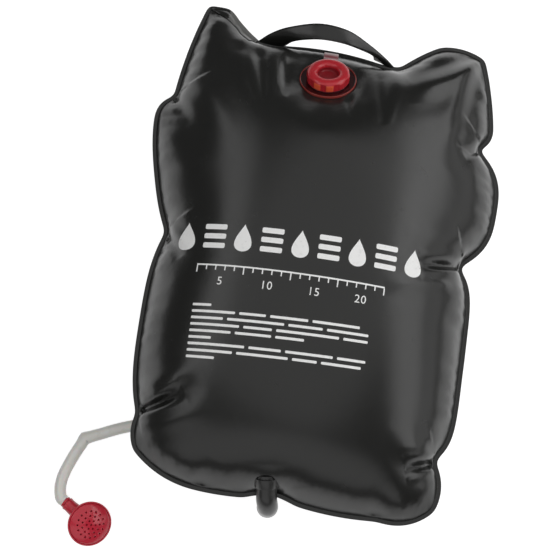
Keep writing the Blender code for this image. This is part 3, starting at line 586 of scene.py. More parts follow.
def make_sheet(step):
    """Lay a triangle net on the flat pattern and carry it to its place in plan."""
    plan_edge, flat_edge = seam_points(step * 0.66)
    plan_edge = smooth_loop(plan_edge)
    flat_edge = smooth_loop(flat_edge, 3)
    plan_in = inset(plan_edge, WELD_WIDTH)
    flat_in = inset(flat_edge, WELD_WIDTH)
    edge_count = len(plan_edge)
    low, high = flat_edge.min(0), flat_edge.max(0)
    rows = []
    y = low[1]
    while y < high[1]:
        x = np.arange(low[0] + (step / 2 if len(rows) % 2 else 0.0), high[0], step)
        rows.append(np.stack((x, np.full(len(x), y)), 1))
        y += step * sqrt(3) / 2
    grid = np.concatenate(rows)
    grid = grid[inside(grid, flat_in)]
    grid = grid[loop_distance(grid, flat_in) > step * 0.55]
    edges = [(i, (i + 1) % edge_count) for i in range(edge_count)]
    flat, faces = triangles([Vector(p) for p in np.concatenate((flat_in, grid))], edges,
                            lambda middles: inside(middles, flat_in), 1e-7)
    pairs = np.array(sorted({tuple(sorted((f[i], f[i - 1]))) for f in faces for i in range(3)}))
    free = np.arange(len(flat)) >= edge_count
    shift = np.zeros((len(flat), 2))
    shift[:edge_count] = plan_in - flat_in
    return plan_edge, flat_edge, flat + even_out(shift, pairs, free), faces, pairs, free


def seam_lift(plan):
    """The weld is not quite level: it waves a few millimetres between its pinches."""
    lift = []
    for x, y in plan:
        wave = noise.noise(Vector((x * 11.0, y * 11.0, 3.7))) * 3.2
        wave += noise.noise(Vector((x * 31.0, y * 31.0, 9.1))) * 0.9
        calm = min(1.0, hypot(x + 0.0135, (y - 0.229) * 1.6) / 0.12)
        calm = max(0.0, calm * 1.6 - 0.75) if y > 0.20 else 1.0
        spout = min(1.0, hypot(x + 0.004, y + 0.25) / 0.06)
        lift.append(wave * MM * min(1.0, calm) * spout)
    return np.array(lift)


def cloth(start, faces, pinned, slack):
    """Let a pinned sheet with some slack swell, and give its points at the end."""
    obj = new_mesh("cloth", start, faces)
    obj.vertex_groups.new(name="pin").add([int(i) for i in np.nonzero(pinned)[0]], 1.0, "REPLACE")
    loose = obj.vertex_groups.new(name="slack")
    for index, weight in enumerate(slack):
        loose.add([index], float(weight), "REPLACE")
    modifier = obj.modifiers.new("cloth", "CLOTH")
    for key, value in CLOTH.items():
        setattr(modifier.settings, key, value)
    modifier.settings.effector_weights.gravity = 0.0
    modifier.collision_settings.use_collision = False
    modifier.collision_settings.use_self_collision = False
    modifier.point_cache.frame_start = 1
    modifier.point_cache.frame_end = CLOTH_FRAMES
    for number in range(1, CLOTH_FRAMES + 1):
        scene.frame_set(number)
    points = points_of(obj.evaluated_get(bpy.context.evaluated_depsgraph_get()).data)
    bpy.data.objects.remove(obj, do_unlink=True)
    scene.frame_set(1)
    return points


def finer(obj, levels):
    """Apply a subdivision, and give back the points and faces."""
    modifier = obj.modifiers.new("finer", "SUBSURF")
    modifier.levels = modifier.render_levels = levels
    done = obj.evaluated_get(bpy.context.evaluated_depsgraph_get()).to_mesh()
    points = points_of(done)
    faces = [tuple(p.vertices) for p in done.polygons]
    obj.to_mesh_clear()
    bpy.data.objects.remove(obj, do_unlink=True)
    return points, faces


def smooth_step(values):
    t = np.clip(values, 0, 1)
    return t * t * (3 - 2 * t)


def crease(points, hold, path, depth, width, fade, growth, begin):
    """Press a valley into the sheet along a line in plan."""
    line = np.array([(p.x, p.y) for p in smooth_path(path, 30)])
    runs = np.linalg.norm(np.diff(line, axis=0), axis=1)
    total = runs.sum()
    best = np.full(len(points), 1e9)
    share = np.zeros(len(points))
    away = np.zeros((len(points), 2))
    past = 0.0
    for a, b, run in zip(line, line[1:], runs):
        along = np.clip(((points[:, :2] - a) @ (b - a)) / run ** 2, 0, 1)
        offset = points[:, :2] - a - along[:, None] * (b - a)
        gap = np.linalg.norm(offset, axis=1)
        closer = gap < best
        best[closer] = gap[closer]
        away[closer] = offset[closer]
        share[closer] = ((past + along * run) / total)[closer]
        past += run
    wide = width * MM * (1 + growth * share) / (1 + max(0.0, growth) * 0.5)
    lips = 0.4 if begin < 0.1 else 0.18
    profile = np.exp(-(best / wide) ** 2) - lips * np.exp(-((best / wide - 2.1) / 0.9) ** 2)
    strength = np.maximum(0.0, 1 - share) ** fade * hold
    if begin > 0:
        strength = strength * smooth_step(share / begin)
    else:
        draw = 0.35 * strength * np.exp(-(best / (wide * 2.5)) ** 2)
        points[:, :2] -= away * draw[:, None]
    points[:, 2] -= depth * MM * strength * profile


def relax(points, faces, hold, rounds):
    """Smooth a net of four-sided faces, more where hold is higher."""
    net = np.array(faces)
    a, b = net.ravel(), np.roll(net, -1, 1).ravel()
    count = np.bincount(np.concatenate((a, b)), minlength=len(points))[:, None]
    for _ in range(rounds):
        total = np.zeros_like(points)
        np.add.at(total, a, points[b])
        np.add.at(total, b, points[a])
        points = points + hold[:, None] * 0.5 * (total / count - points)
    return points


def with_band(points, faces, plan_edge, lift, side):
    """Add the welded band outside the net."""
    points = [tuple(p) for p in points]
    rows = [range(len(plan_edge))]
    for share, height in BAND:
        rows.append(range(len(points), len(points) + len(plan_edge)))
        for (x, y, _), (px, py), rise in zip(points[:len(plan_edge)], plan_edge, lift):
            points.append((x + (px - x) * share, y + (py - y) * share,
                           SEAM_HEIGHT + rise + side * (SHEET_HALF + height * MM)))
    return points, faces + between(rows)


def build_sheet(side):
    """The front (side 1) or back (side -1) sheet: domed, let swell, banded and made finer."""
    plan_edge, flat_edge, plan, faces, pairs, free = make_sheet(SHEET_STEP)
    count = len(plan)
    share = even_out(np.zeros((count, 1)), pairs, free, 1.0)[:, 0]
    share = np.clip(share / share.max(), 0, 1)
    lift = seam_lift(plan[~free])
    level = np.zeros((count, 1))
    level[~free, 0] = lift
    level = even_out(level, pairs, free)[:, 0] * side
    crown = CROWN_HEIGHT if side > 0 else BACK_CROWN
    height = level + crown * share ** CROWN_POWER
    pinned = ~free
    if side > 0:
        plane, reach = filler_plane(plan)
        near = smooth_step((reach - DISH_RADIUS) / FLAT_FADE)
        height = np.where(free, np.maximum(0.0, plane - SEAM_HEIGHT) * (1 - near) + height * near,
                          height)
        disc = reach < DISH_RADIUS - 0.5 * MM
        pinned |= disc
        height[disc] = (plane - SEAM_HEIGHT)[disc]
    start = np.column_stack((plan, SEAM_HEIGHT + height))
    slack = np.zeros(count)
    for x, y, reach in SLACK:
        gap = np.hypot(plan[:, 0] - x * MM, plan[:, 1] - y * MM) / (reach * MM)
        slack = np.maximum(slack, np.exp(-gap * gap))
    start = cloth(start, faces, pinned, slack)
    height = start[:, 2] - SEAM_HEIGHT
    start[:, 2] = SEAM_HEIGHT + side * (height + SHEET_HALF)
    if side > 0:
        _, reach = filler_plane(np.array([start[list(f)].mean(0) for f in faces])[:, :2])
        faces = [f for f, r in zip(faces, reach) if r > FILLER_HOLE]
        # The points in the hole go too, and the others are numbered again.
        used = sorted({i for f in faces for i in f})
        start = start[used]
        faces = [tuple(np.searchsorted(used, f)) for f in faces]
    points, faces = with_band(start, faces, plan_edge, lift, side)
    if side < 0:
        faces = [f[::-1] for f in faces]
    points, faces = finer(new_mesh("sheet", points, faces), 2 if side > 0 else 1)
    weld = inset(plan_edge, WELD_WIDTH)
    gap = loop_distance(points[:, :2], weld)
    return points, faces, np.where(inside(points[:, :2], weld), gap, 0.0), flat_edge


# The weld and the filler's flat are held. The hold fades out over these widths.
WELD_HOLD = 5 * MM
DISH_HOLD = 12 * MM
RELAX_ROUNDS = 12
front_points, front_faces, front_gap, flat_edge = build_sheet(1)
_, reach = filler_plane(front_points[:, :2])
front_hold = smooth_step(front_gap / WELD_HOLD) * smooth_step((reach - DISH_RADIUS) / DISH_HOLD)
front_points = relax(front_points, front_faces, front_hold, RELAX_ROUNDS)
for row in CREASES:
    crease(front_points, front_hold, *row)
front = new_mesh("front_sheet", front_points, front_faces, MAT_BLACK)
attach(front, "root")
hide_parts("front_panel")

# The back sheet rests on the floor and on the hose that passes under it.
FLOOR_GAP = 0.3 * MM
HOSE_CLEAR = 1.2 * MM
UNDER_FROM = 40
UNDER_HALF = HOSE_DIAMETER * 0.55
UNDER_SLOPE = 0.9
back_points, back_faces, back_gap, _ = build_sheet(-1)
low = np.full(len(back_points), FLOOR_GAP)
for p in fine_points[UNDER_FROM:]:
    near = np.hypot(back_points[:, 0] - p.x, back_points[:, 1] - p.y)
    top = p.z + HOSE_DIAMETER / 2 + HOSE_CLEAR
    low = np.maximum(low, top - np.maximum(0, near - UNDER_HALF) * UNDER_SLOPE)
back_points[:, 2] = np.where(back_gap > 0, np.maximum(back_points[:, 2], low),
                             back_points[:, 2])
back = new_mesh("back_sheet", back_points, back_faces, MAT_GREY)
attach(back, "root")
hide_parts("back_panel")

front_tree = BVHTree.FromPolygons([tuple(p) for p in front_points], front_faces)


def surface(x, y):
    """The front sheet's point and normal below a place in plan."""
    hit = front_tree.ray_cast(Vector((x, y, 1.0)), Vector((0, 0, -1)))
    if hit[0] is None:
        return Vector((x, y, SEAM_HEIGHT + SHEET_HALF)), Vector((0, 0, 1))
    return hit[0], hit[1] if hit[1].z > 0 else -hit[1]


FLAP_INNER = ((-149, 259), (-133, 250), (-119, 241), (-109, 229), (-100, 221))
FLAP_OUTER = ((-145, 262.5), (-127, 261), (-113, 248.5), (-102, 239), (-92, 231.8))
FLAP_BLACK_BELOW = -127 * MM
FLAP_STEPS = 40
FLAP_ACROSS = 8
FLAP_THICKNESS = 0.5 * MM


def build_flap():
    """The grey sheet's edge, turned up over the left ear's top weld, coloured a darker grey than
    the grey sheet: painted shade.
    """
    rows = []
    for index, (a, b) in enumerate(zip(smooth_path(FLAP_INNER, FLAP_STEPS),
                                       smooth_path(FLAP_OUTER, FLAP_STEPS))):
        top = []
        for step in range(FLAP_ACROSS + 1):
            t = step / FLAP_ACROSS
            p = a.lerp(b, t)
            z = surface(p.x, p.y)[0].z if t < 0.85 else SEAM_HEIGHT + 1.2 * MM
            ripple = 0.35 * MM * sin(index * 0.55 + t * 3.0)
            z += 0.7 * MM + 1.3 * MM * sin(pi * t) ** 0.7 + ripple * sin(pi * t)
            top.append(Vector((p.x, p.y, z)))
        rows.append(top + [p - Vector((0, 0, FLAP_THICKNESS)) for p in reversed(top)])
    return loft("ear_flap", rows, MAT_FLAP_PAINTED_SHADE)


flap = build_flap()
flap.data.materials.append(MAT_BLACK)
for face in flap.data.polygons:
    face.material_index = int(face.center.x < FLAP_BLACK_BELOW)
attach(flap, "root")
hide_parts("back_panel")

# Handle

HANDLE_RISE = 33 * MM
HALF_WIDTH = 189 * MM
HALF_LENGTH = 262.5 * MM
# Each edge: its first root in the weld (mm), shares of the half width, the half length and the
# rise, and its last root (mm)
HANDLE_OUTER = ((-92.0, 231.3), (
    (-0.413, 0.909, 0.36), (-0.315, 0.929, 0.70), (-0.150, 0.947, 1.00),
    (0.012, 0.941, 0.93), (0.144, 0.912, 0.62), (0.250, 0.881, 0.28)), (58.5, 226.0))
HANDLE_INNER = ((-62.4, 230.2), (
    (-0.286, 0.8815, 0.40), (-0.214, 0.882, 0.72), (-0.120, 0.883, 0.92),
    (0.000, 0.882, 0.88), (0.110, 0.880, 0.60), (0.190, 0.876, 0.32)), (47.5, 226.8))
HANDLE_STEPS = 90
HANDLE_ACROSS = 14
# The grey ply peeps out by this much beside its right root.
PEEP = 5 * MM
PEEP_AT = 0.93


def handle_edge(first, shares, last):
    line = [Vector((x * HALF_WIDTH, y * HALF_LENGTH, SEAM_HEIGHT + z * HANDLE_RISE))
            for x, y, z in shares]
    roots = [Vector((x * MM, y * MM, SEAM_HEIGHT)) for x, y in (first, last)]
    return smooth_points(roots[:1] + line + roots[1:], HANDLE_STEPS)


def build_handle(name, side, material):
    outer, inner = handle_edge(*HANDLE_OUTER), handle_edge(*HANDLE_INNER)
    rows = []
    for index, (a, b) in enumerate(zip(inner, outer)):
        share = index / (HANDLE_STEPS - 1)
        if side < 0:
            a = a + (a - b).normalized() * PEEP * exp(-((share - PEEP_AT) / 0.05) ** 2)
        after, before = min(HANDLE_STEPS - 1, index + 1), max(0, index - 1)
        run = outer[after] + inner[after] - outer[before] - inner[before]
        up = (b - a).cross(-run).normalized()
        if up.z < 0:
            up = -up
        row = []
        for step in range(HANDLE_ACROSS + 1):
            t = step / HANDLE_ACROSS
            puff = (4 * t * (1 - t)) ** 0.55
            wave = noise.noise(Vector((index * 0.09, t * 1.2, 4.0 * side)))
            height = side * puff * (1.7 + 0.5 * wave) * MM + side * 0.25 * MM
            if step in (0, HANDLE_ACROSS):
                height = 0.0
            row.append(a.lerp(b, t) + up * height)
        rows.append(row)
    faces = [face[::side] for face in between(numbered(rows), closed=False)]
    return new_mesh(name, [p for row in rows for p in row], faces, material)


for name, node, side, material, slot in (
        ("handle_top", "handle_front_ply", 1, MAT_BLACK, "black_sheet"),
        ("handle_under", "handle_back_ply", -1, MAT_GREY, "grey_sheet")):
    ply = build_handle(name, side, material)
    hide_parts(node)
    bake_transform(ply)

# Filler

side_axis = Vector((0.9959, 0.0459, 0.0775)).normalized()
FILLER_PLACE = axes_at(FILLER_CENTRE, side_axis, FILLER_NORMAL.cross(side_axis), FILLER_NORMAL)


def paint(obj, material, wanted):
    """Give another material to the faces of a turned piece whose (radius, height, angle) fit."""
    slot = len(obj.data.materials)
    obj.data.materials.append(material)
    away = FILLER_PLACE.inverted()
    for face in obj.data.polygons:
        p = away @ face.center
        if wanted(hypot(p.x, p.y) / MM, p.z / MM, atan2(p.y, p.x)):
            face.material_index = slot


neck_profile = [(15.4, -9.0), (18.0, -9.0), (18.0, -0.2), (29.6, -0.2)] + \
    arc(29.4, 0.4, 0.6, 0.6, -90, 0, 4) + arc(29.45, 2.85, 0.5, 0.5, 0, 180, 8) + \
    [(28.9, 2.1), (28.3, 1.7), (27.6, 1.6), (18.6, 1.6), (18.0, 2.2), (18.0, 6.8), (17.6, 7.2),
     (15.8, 7.2), (15.4, 6.8), (15.4, -9.0)]
neck = turned("filler_dish", neck_profile, 128, FILLER_PLACE, MAT_DISH)
paint(neck, MAT_LIP, lambda r, z, angle: r > 28.8 and z > 1.4)
paint(neck, MAT_CAP, lambda r, z, angle: r < 18.4)
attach(neck, "root")
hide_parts("filler_neck")

RIBS = 10
RIB_TURN = radians(-81)
RIB_DEPTH = 0.9
RIB_INNER = 20.5


def rib_share(angle):
    """1 on a grip and 0 between two."""
    return 1 / (1 + exp(-(cos((angle - RIB_TURN) * RIBS) + 0.15) * 12))


def ribbed(r, z, angle):
    """Broad grips round the cap, fading out under its rounded crown."""
    if r < RIB_INNER:
        return r
    fade = min(1.0, max(0.0, (12.0 - z) / 2.0)) * min(1.0, max(0.0, (z - 3.3) / 0.6))
    return r - RIB_DEPTH * (1 - rib_share(angle)) * fade


cap_profile = [(0.0, 4.3), (12.2, 4.3), (12.5, 4.6), (12.5, 9.2), (18.4, 9.2), (18.4, 3.6),
               (18.6, 3.4), (22.2, 3.4), (22.7, 3.8), (22.8, 4.6), (22.8, 6.0), (22.8, 7.4),
               (22.8, 8.6), (22.8, 9.4)] + \
    arc(17.3, 9.6, 5.5, 4.4, 4, 90, 12) + arc(16.2, 10.6, 4.9, 3.4, 90, 176, 9) + \
    [(11.1, 9.6), (10.9, 8.0), (10.5, 6.8), (9.9, 6.0), (9.0, 5.8), (5.0, 5.8), (0.0, 5.8)]
cap = turned("screw_cap", cap_profile, 320, FILLER_PLACE, MAT_CAP, ribbed)
# The two grips at the front are painted a brighter orange red: painted light, standing in for light
# shining through the thin plastic.
paint(cap, MAT_CAP_PAINTED_GLOW, lambda r, z, angle: (
    r > 21.0 and 3.5 < z < 11.2 and rib_share(angle) > 0.5
    and abs(angle - RIB_TURN + radians(18)) < radians(30)))
# The recess in the crown gets the darker red: painted shade.
paint(cap, MAT_CAP_PAINTED_SHADE, lambda r, z, angle: r < 11.2 and z < 10.6)
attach(cap, "cap")
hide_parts("filler_cap")

washer = turned("washer", flat_ring(12.8, 18.1, 7.5, 8.9), 96, FILLER_PLACE, MAT_RUBBER)
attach(washer, "cap_lift")
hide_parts("cap_washer")

ring = turned("tether_loop", flat_ring(18.3, 21.5, 1.9, 3.1), 96, FILLER_PLACE, MAT_TETHER)
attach(ring, "cap_lift")
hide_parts("tether_ring")

TETHER_HALF = 7.75 * MM
TETHER_THICKNESS = 1.2 * MM
TETHER_END = 227.6 * MM
TETHER_STEPS = 46
# The strap's section: shares of its half width and of its thickness
TETHER_SECTION = ((-1, 0.15), (-0.96, 0), (0, 0), (0.96, 0), (1, 0.15), (1, 0.85), (0.96, 1),
                  (0, 1), (-0.96, 1), (-1, 0.85))


def build_tether():
    """From the ring, over the dish's lip and down the sheet to the top weld."""
    line = [FILLER_PLACE @ Vector((0, y * MM, z * MM)) for y, z in
            ((19.6, 2.0), (22.0, 2.0), (25.0, 2.5), (28.6, 3.75), (31.4, 3.75))]
    start = line[-1]
    for step in range(1, 11):
        y = start.y + (TETHER_END - start.y) * step / 10
        high = max(surface(start.x + s * TETHER_HALF, y)[0].z for s in (-1, -0.5, 0, 0.5, 1))
        wanted = start.z + (SEAM_HEIGHT + 1.2 * MM - start.z) * (step / 10) ** 0.8
        line.append(Vector((start.x, y, max(high + 0.5 * MM, min(wanted, high + 2.5 * MM)))))
    line = smooth_points(line, TETHER_STEPS)
    rows = []
    for index, point in enumerate(line):
        run = (line[min(TETHER_STEPS - 1, index + 1)] - line[max(0, index - 1)]).normalized()
        across = side_axis.lerp(Vector((1, 0, 0)), min(1.0, index / 20))
        up = across.cross(run).normalized()
        rows.append([point + across * s * TETHER_HALF + up * h * TETHER_THICKNESS
                     for s, h in TETHER_SECTION])
    return loft("tether", rows, MAT_TETHER)


tether = build_tether()
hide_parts("tether_strap")
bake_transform(tether)

# Outlet

ELBOW_ROUTE = [LOWER_END + Vector(p) * MM for p in (
    (-8.6, 19.5, 93.0), (-6.8, 9.5, 88.2), (-4.8, 3.5, 78.5), (-4.0, 2.0, 68.0),
    (-4.0, 2.0, 52.0))]
OUTLET_RADIUS = 10.5 * MM
SOCKET_SHARE = (HOSE_DIAMETER / 2 + 0.3 * MM) / OUTLET_RADIUS
# From the elbow's rounded end into the socket: share of the radius, and how far down (mm)
MOUTH = ((0.985, 0.35), (0.93, 0.6), (0.72, 0.6), (SOCKET_SHARE, 0.2), (SOCKET_SHARE, -10),
         (0.43, -10))

bend = smooth_points(ELBOW_ROUTE, 40)
elbow_run = (bend[1] - bend[0]).normalized()
bend = [bend[0] - elbow_run * back_by * MM for back_by in (15, 8)] + bend


def elbow_radius(share, angle):
    """Slightly oval, with a bead round the end."""
    bead = 0.3 * MM if (1 - share) * (len(bend) - 1) < 2.0 else 0.0
    return OUTLET_RADIUS + bead + 0.12 * MM * cos(2 * angle)


rings = tube_rings(bend, elbow_radius, 48)
down = (bend[-1] - bend[-2]).normalized()
rings += [[bend[-1] + (p - bend[-1]) * share + down * (drop * MM) for p in rings[-1]]
          for share, drop in MOUTH]
elbow = loft("elbow", rings, MAT_VINYL)
elbow.data.set_sharp_from_angle(angle=SHARP)
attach(elbow, "root")
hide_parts("outlet_elbow")

collar_place = place_at(ELBOW_ROUTE[0] - elbow_run * 11.4 * MM, elbow_run)
collar = turned("outlet_flange", [(10.8, 0.0), (12.2, 0.0), (12.2, 9.2), (11.9, 9.8), (11.3, 10.0),
                                  (10.8, 10.0), (10.8, 0.0)], 72, collar_place, MAT_VINYL)
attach(collar, "root")
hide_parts("outlet_collar")

# Shower head

HEAD_PLACE = place_at(HEAD_CENTRE, HEAD_NORMAL, HEAD_LEAN)
BOWL_PROFILE = [(0.0, -10.0), (7.8, -10.0), (14.6, -8.4), (20.8, -5.2), (23.2, -2.9), (23.6, -2.2),
                (23.6, -0.4), (23.3, 0.0), (22.2, 0.1), (21.9, -0.2), (21.9, -1.9), (18.4, -1.9),
                (16.5, -4.2), (11.5, -7.2), (6.0, -8.4), (0.0, -8.4)]
SLEEVE_PROFILE = [(0.0, 7.75), (8.3, 7.75), (8.1, 14.0), (7.4, 20.0), (7.0, 25.0), (6.9, 28.2),
                  (7.2, 28.8), (7.2, 30.6), (6.9, 31.0), (5.6, 31.0), (5.6, 9.5), (0.0, 9.5)]


def build_bowl():
    """Bowl and sleeve in one moulding: turned shapes, grown together and softened."""
    body = turned("bowl", BOWL_PROFILE, 96, HEAD_PLACE, MAT_RED)
    sleeve = turned("sleeve", SLEEVE_PROFILE, 64, place_at(SLEEVE_ROOT, SLEEVE_AWAY), MAT_RED)
    join = body.modifiers.new("join", "BOOLEAN")
    join.operation = "UNION"
    join.solver = "EXACT"
    join.object = sleeve
    remesh = body.modifiers.new("remesh", "REMESH")
    remesh.mode = "VOXEL"
    remesh.voxel_size = 0.42 * MM
    soft = body.modifiers.new("soft", "CORRECTIVE_SMOOTH")
    soft.use_only_smooth = True
    soft.iterations = 4
    soft.factor = 0.6
    done = bpy.data.meshes.new_from_object(
        body.evaluated_get(bpy.context.evaluated_depsgraph_get()))
    for piece in (body, sleeve):
        bpy.data.objects.remove(piece, do_unlink=True)
    done.shade_smooth()
    done.materials.clear()
    done.materials.append(MAT_RED)
    return new_object("head_shell", done)


bowl = build_bowl()
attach(bowl, "head")
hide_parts("head_bowl")

# All in mm
ROSE_RADIUS = 21.6
ROSE_DOME = 5.2
ROSE_HOLES = (1, 6, 11, 16)
ROSE_RING_STEP = 4.7
ROSE_NET = 1.3
ROSE_SIDES = 120
ROSE_SHARP = radians(50)
ROSE_RIM = ((ROSE_RADIUS - 0.1, -0.15), (ROSE_RADIUS, -0.45), (ROSE_RADIUS, -1.6))
HOLE_MOUTH = 1.15
HOLE_SIDES = 14
# Down a hole's wall: share of the mouth's radius, and how deep
HOLE_WALL = ((0.78, 0.35), (0.74, 0.5), (0.72, 1.4))


def rose_height(x, y):
    ball = (ROSE_RADIUS ** 2 + ROSE_DOME ** 2) / (2 * ROSE_DOME)
    return sqrt(ball ** 2 - x * x - y * y) - ball + ROSE_DOME


def build_rose():
    """A domed plate with its drilled holes."""
    points, edges, loops = [], [], []

    def circle(x, y, radius, steps):
        first = len(points)
        for step in range(steps):
            angle = 2 * pi * (step + 0.5) / steps
            points.append(Vector((x + radius * cos(angle), y + radius * sin(angle))))
            edges.append((first + step, first + (step + 1) % steps))
        loops.append(list(range(first, first + steps)))

    circle(0, 0, ROSE_RADIUS - 0.35, ROSE_SIDES)
    for number, holes in enumerate(ROSE_HOLES):
        for hole in range(holes):
            angle = 2 * pi * (hole + 0.5 * (number % 2)) / holes
            circle(number * ROSE_RING_STEP * cos(angle), number * ROSE_RING_STEP * sin(angle),
                   HOLE_MOUTH, HOLE_SIDES)
    centres = np.array([np.mean([tuple(points[i]) for i in loop], axis=0) for loop in loops[1:]])

    def clear_of(places, rim, mouth):
        """Which places are this far inside the rim and outside every hole."""
        apart = np.linalg.norm(places[:, None] - centres, axis=2).min(1)
        return (np.linalg.norm(places, axis=1) < ROSE_RADIUS - rim) & (apart > mouth)

    net = np.array([((col + 0.5 * (row % 2)) * ROSE_NET, row * ROSE_NET * 0.87)
                    for row in range(-18, 19) for col in range(-18, 19)])
    points += [Vector(p) for p in net[clear_of(net, 1.2, HOLE_MOUTH + 0.55)]]
    flat, faces = triangles(points, edges,
                            lambda places: clear_of(places, 0.36, HOLE_MOUTH * 0.97), 1e-6)
    verts = [Vector((x, y, rose_height(x, y))) for x, y in flat]

    def wall(loop, rings):
        """Rows of points from a loop on, each given as points by a ring's own function."""
        rows = [loop]
        for ring in rings:
            rows.append(range(len(verts), len(verts) + len(loop)))
            verts.extend(Vector(ring(*flat[i])) for i in loop)
        return between(rows)

    for loop in loops[1:]:
        cx, cy = flat[loop].mean(0)
        faces += wall(loop, [
            lambda x, y, s=share, d=drop: (cx + (x - cx) * s, cy + (y - cy) * s,
                                           rose_height(x, y) - d)
            for share, drop in HOLE_WALL])
    rim = wall(loops[0], [lambda x, y, r=reach, z=z: (r * x / hypot(x, y), r * y / hypot(x, y), z)
                          for reach, z in ROSE_RIM])
    faces += [face[::-1] for face in rim]
    obj = new_mesh("rose", [HEAD_PLACE @ (v * MM) for v in verts], faces, MAT_RED)
    obj.data.set_sharp_from_angle(angle=ROSE_SHARP)
    return obj


rose = build_rose()
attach(rose, "head")
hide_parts("head_rose")

spigot_place = place_at(SLEEVE_ROOT + SLEEVE_AWAY * SLEEVE_REACH, SLEEVE_AWAY)
spigot = turned("tap_spigot", [(0.0, -18.0), (2.4, -18.0), (4.6, -15.7), (4.6, -8.2), (3.4, -8.2),
                               (3.4, -5.9), (4.6, -5.9), (4.6, 0.3), (5.9, 0.3), (6.25, 0.6),
                               (6.25, 2.5), (5.9, 2.8), (2.4, 2.8), (2.4, -13.4), (0.0, -13.4)],
                64, spigot_place, MAT_RED)
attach(spigot, "root")
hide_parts("valve_spigot")
oring = turned("tap_oring", arc(4.5, -7.0, 0.8, 0.8, 0, 360, 16), 64, spigot_place, MAT_RUBBER)
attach(oring, "root")
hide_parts("spigot_oring")

# Print

INK_LIFT = 0.16 * MM
INK_STEP = 2.2


def ink_faces(loops):
    """Triangles of flat shapes (mm), fine enough to follow the sheet, with holes left out."""
    points, edges = [], []
    for loop in loops:
        first = len(points)
        for a, b in zip(loop, loop[1:] + loop[:1]):
            a, b = Vector(a), Vector(b)
            count = max(1, int((b - a).length / INK_STEP))
            points += [a.lerp(b, i / count) for i in range(count)]
        size = len(points) - first
        edges += [(first + i, first + (i + 1) % size) for i in range(size)]
    outline = np.array([tuple(p) for p in points])
    rims = [np.array(loop) for loop in loops]

    def held(places):
        return sum(inside(places, rim).astype(int) for rim in rims) % 2 == 1

    xs, ys = (np.arange(low + INK_STEP / 2, high, INK_STEP)
              for low, high in zip(outline.min(0), outline.max(0)))
    if len(xs) and len(ys):
        grid = np.array([(x, y) for x in xs for y in ys])
        apart = np.min([loop_distance(grid, rim) for rim in rims], axis=0) > INK_STEP * 0.35
        points += [Vector(p) for p in grid[held(grid) & apart]]
    return triangles(points, edges, held, 1e-6)


def box(x, y, width, height, round_by=0.0):
    """A plain bar's outline, anticlockwise from its lower left, with rounded corners."""
    if round_by <= 0:
        return [(x, y), (x + width, y), (x + width, y + height), (x, y + height)]
    left, right = x + round_by, x + width - round_by
    low, high = y + round_by, y + height - round_by
    return [(cx + round_by * cos(radians(start + 15 * step)),
             cy + round_by * sin(radians(start + 15 * step)))
            for cx, cy, start in ((right, low, -90), (right, high, 0), (left, high, 90),
                                  (left, low, 180))
            for step in range(7)]


def drop(cx, base, width, height):
    """A plain water drop."""
    turns = [2 * pi * step / 40 for step in range(40)]
    return [(cx - width / 2 * sin(t) * sin(t / 2) ** 1.5 * 1.3, base + height / 2 * (1 + cos(t)))
            for t in turns]


def number_loops(text, size):
    """The outlines of a plain number, starting at 0, 0."""
    data = bpy.data.curves.new("number", "FONT")
    data.body = text
    data.size = size
    data.resolution_u = 4
    data.space_character = 1.1
    obj = new_object("number", data)
    mesh = bpy.data.meshes.new_from_object(obj)
    edges = {}
    bm = bmesh.new()
    bm.from_mesh(mesh)
    bmesh.ops.remove_doubles(bm, verts=bm.verts, dist=1e-5)
    for edge in bm.edges:
        if len(edge.link_faces) == 1:
            a, b = edge.verts
            edges.setdefault(a.index, []).append(b.index)
            edges.setdefault(b.index, []).append(a.index)
    bm.verts.ensure_lookup_table()
    loops = []
    unused = set(edges)
    while unused:
        loop, after = [], [min(unused)]
        while after:
            loop.append(after[0])
            unused.discard(after[0])
            after = [i for i in edges[loop[-1]] if i in unused]
        loops.append([(bm.verts[i].co.x, bm.verts[i].co.y) for i in loop])
    bm.free()
    bpy.data.objects.remove(obj, do_unlink=True)
    bpy.data.meshes.remove(mesh)
    return loops


def slanted(x0, y0, x1, y1):
    """Carry (along, up) in mm to plan, along a base line from one place to another."""
    length = hypot(x1 - x0, y1 - y0)
    c, s = (x1 - x0) / length, (y1 - y0) / length
    return lambda x, y: (x0 + x * c - y * s, y0 + x * s + y * c)


TITLE_LINE = slanted(-142.0, -22.0, 118.0, -18.0)
TITLE_STEP = 28.6
TITLE_MARKS = 9
SCALE_LINE = slanted(-112.0, -50.0, 77.0, -48.0)
SCALE_TOP = 12.4
SCALE_STEP = 9.36
TICK_SHORT = 4.2
TICK_LONG = 7.0
NUMBER_SIZE = 11.5
BLOCK_LINE = slanted(-108.0, -133.0, 80.0, -127.0)
BLOCK_ROWS = ((20,), (46, 28, 40, 50), (34, 60, 36, 44), (52, 30, 66, 26), (44, 38, 30), (24,),
              (60, 34, 50, 30), (48, 54, 26, 42), (30,))
BLOCK_SHARE = 0.94
BLOCK_TOP = 54.0
BLOCK_STEP = 6.5
DASH_HEIGHT = 2.6
DASH_ROUND = 0.9
DASH_GAP = 4.2


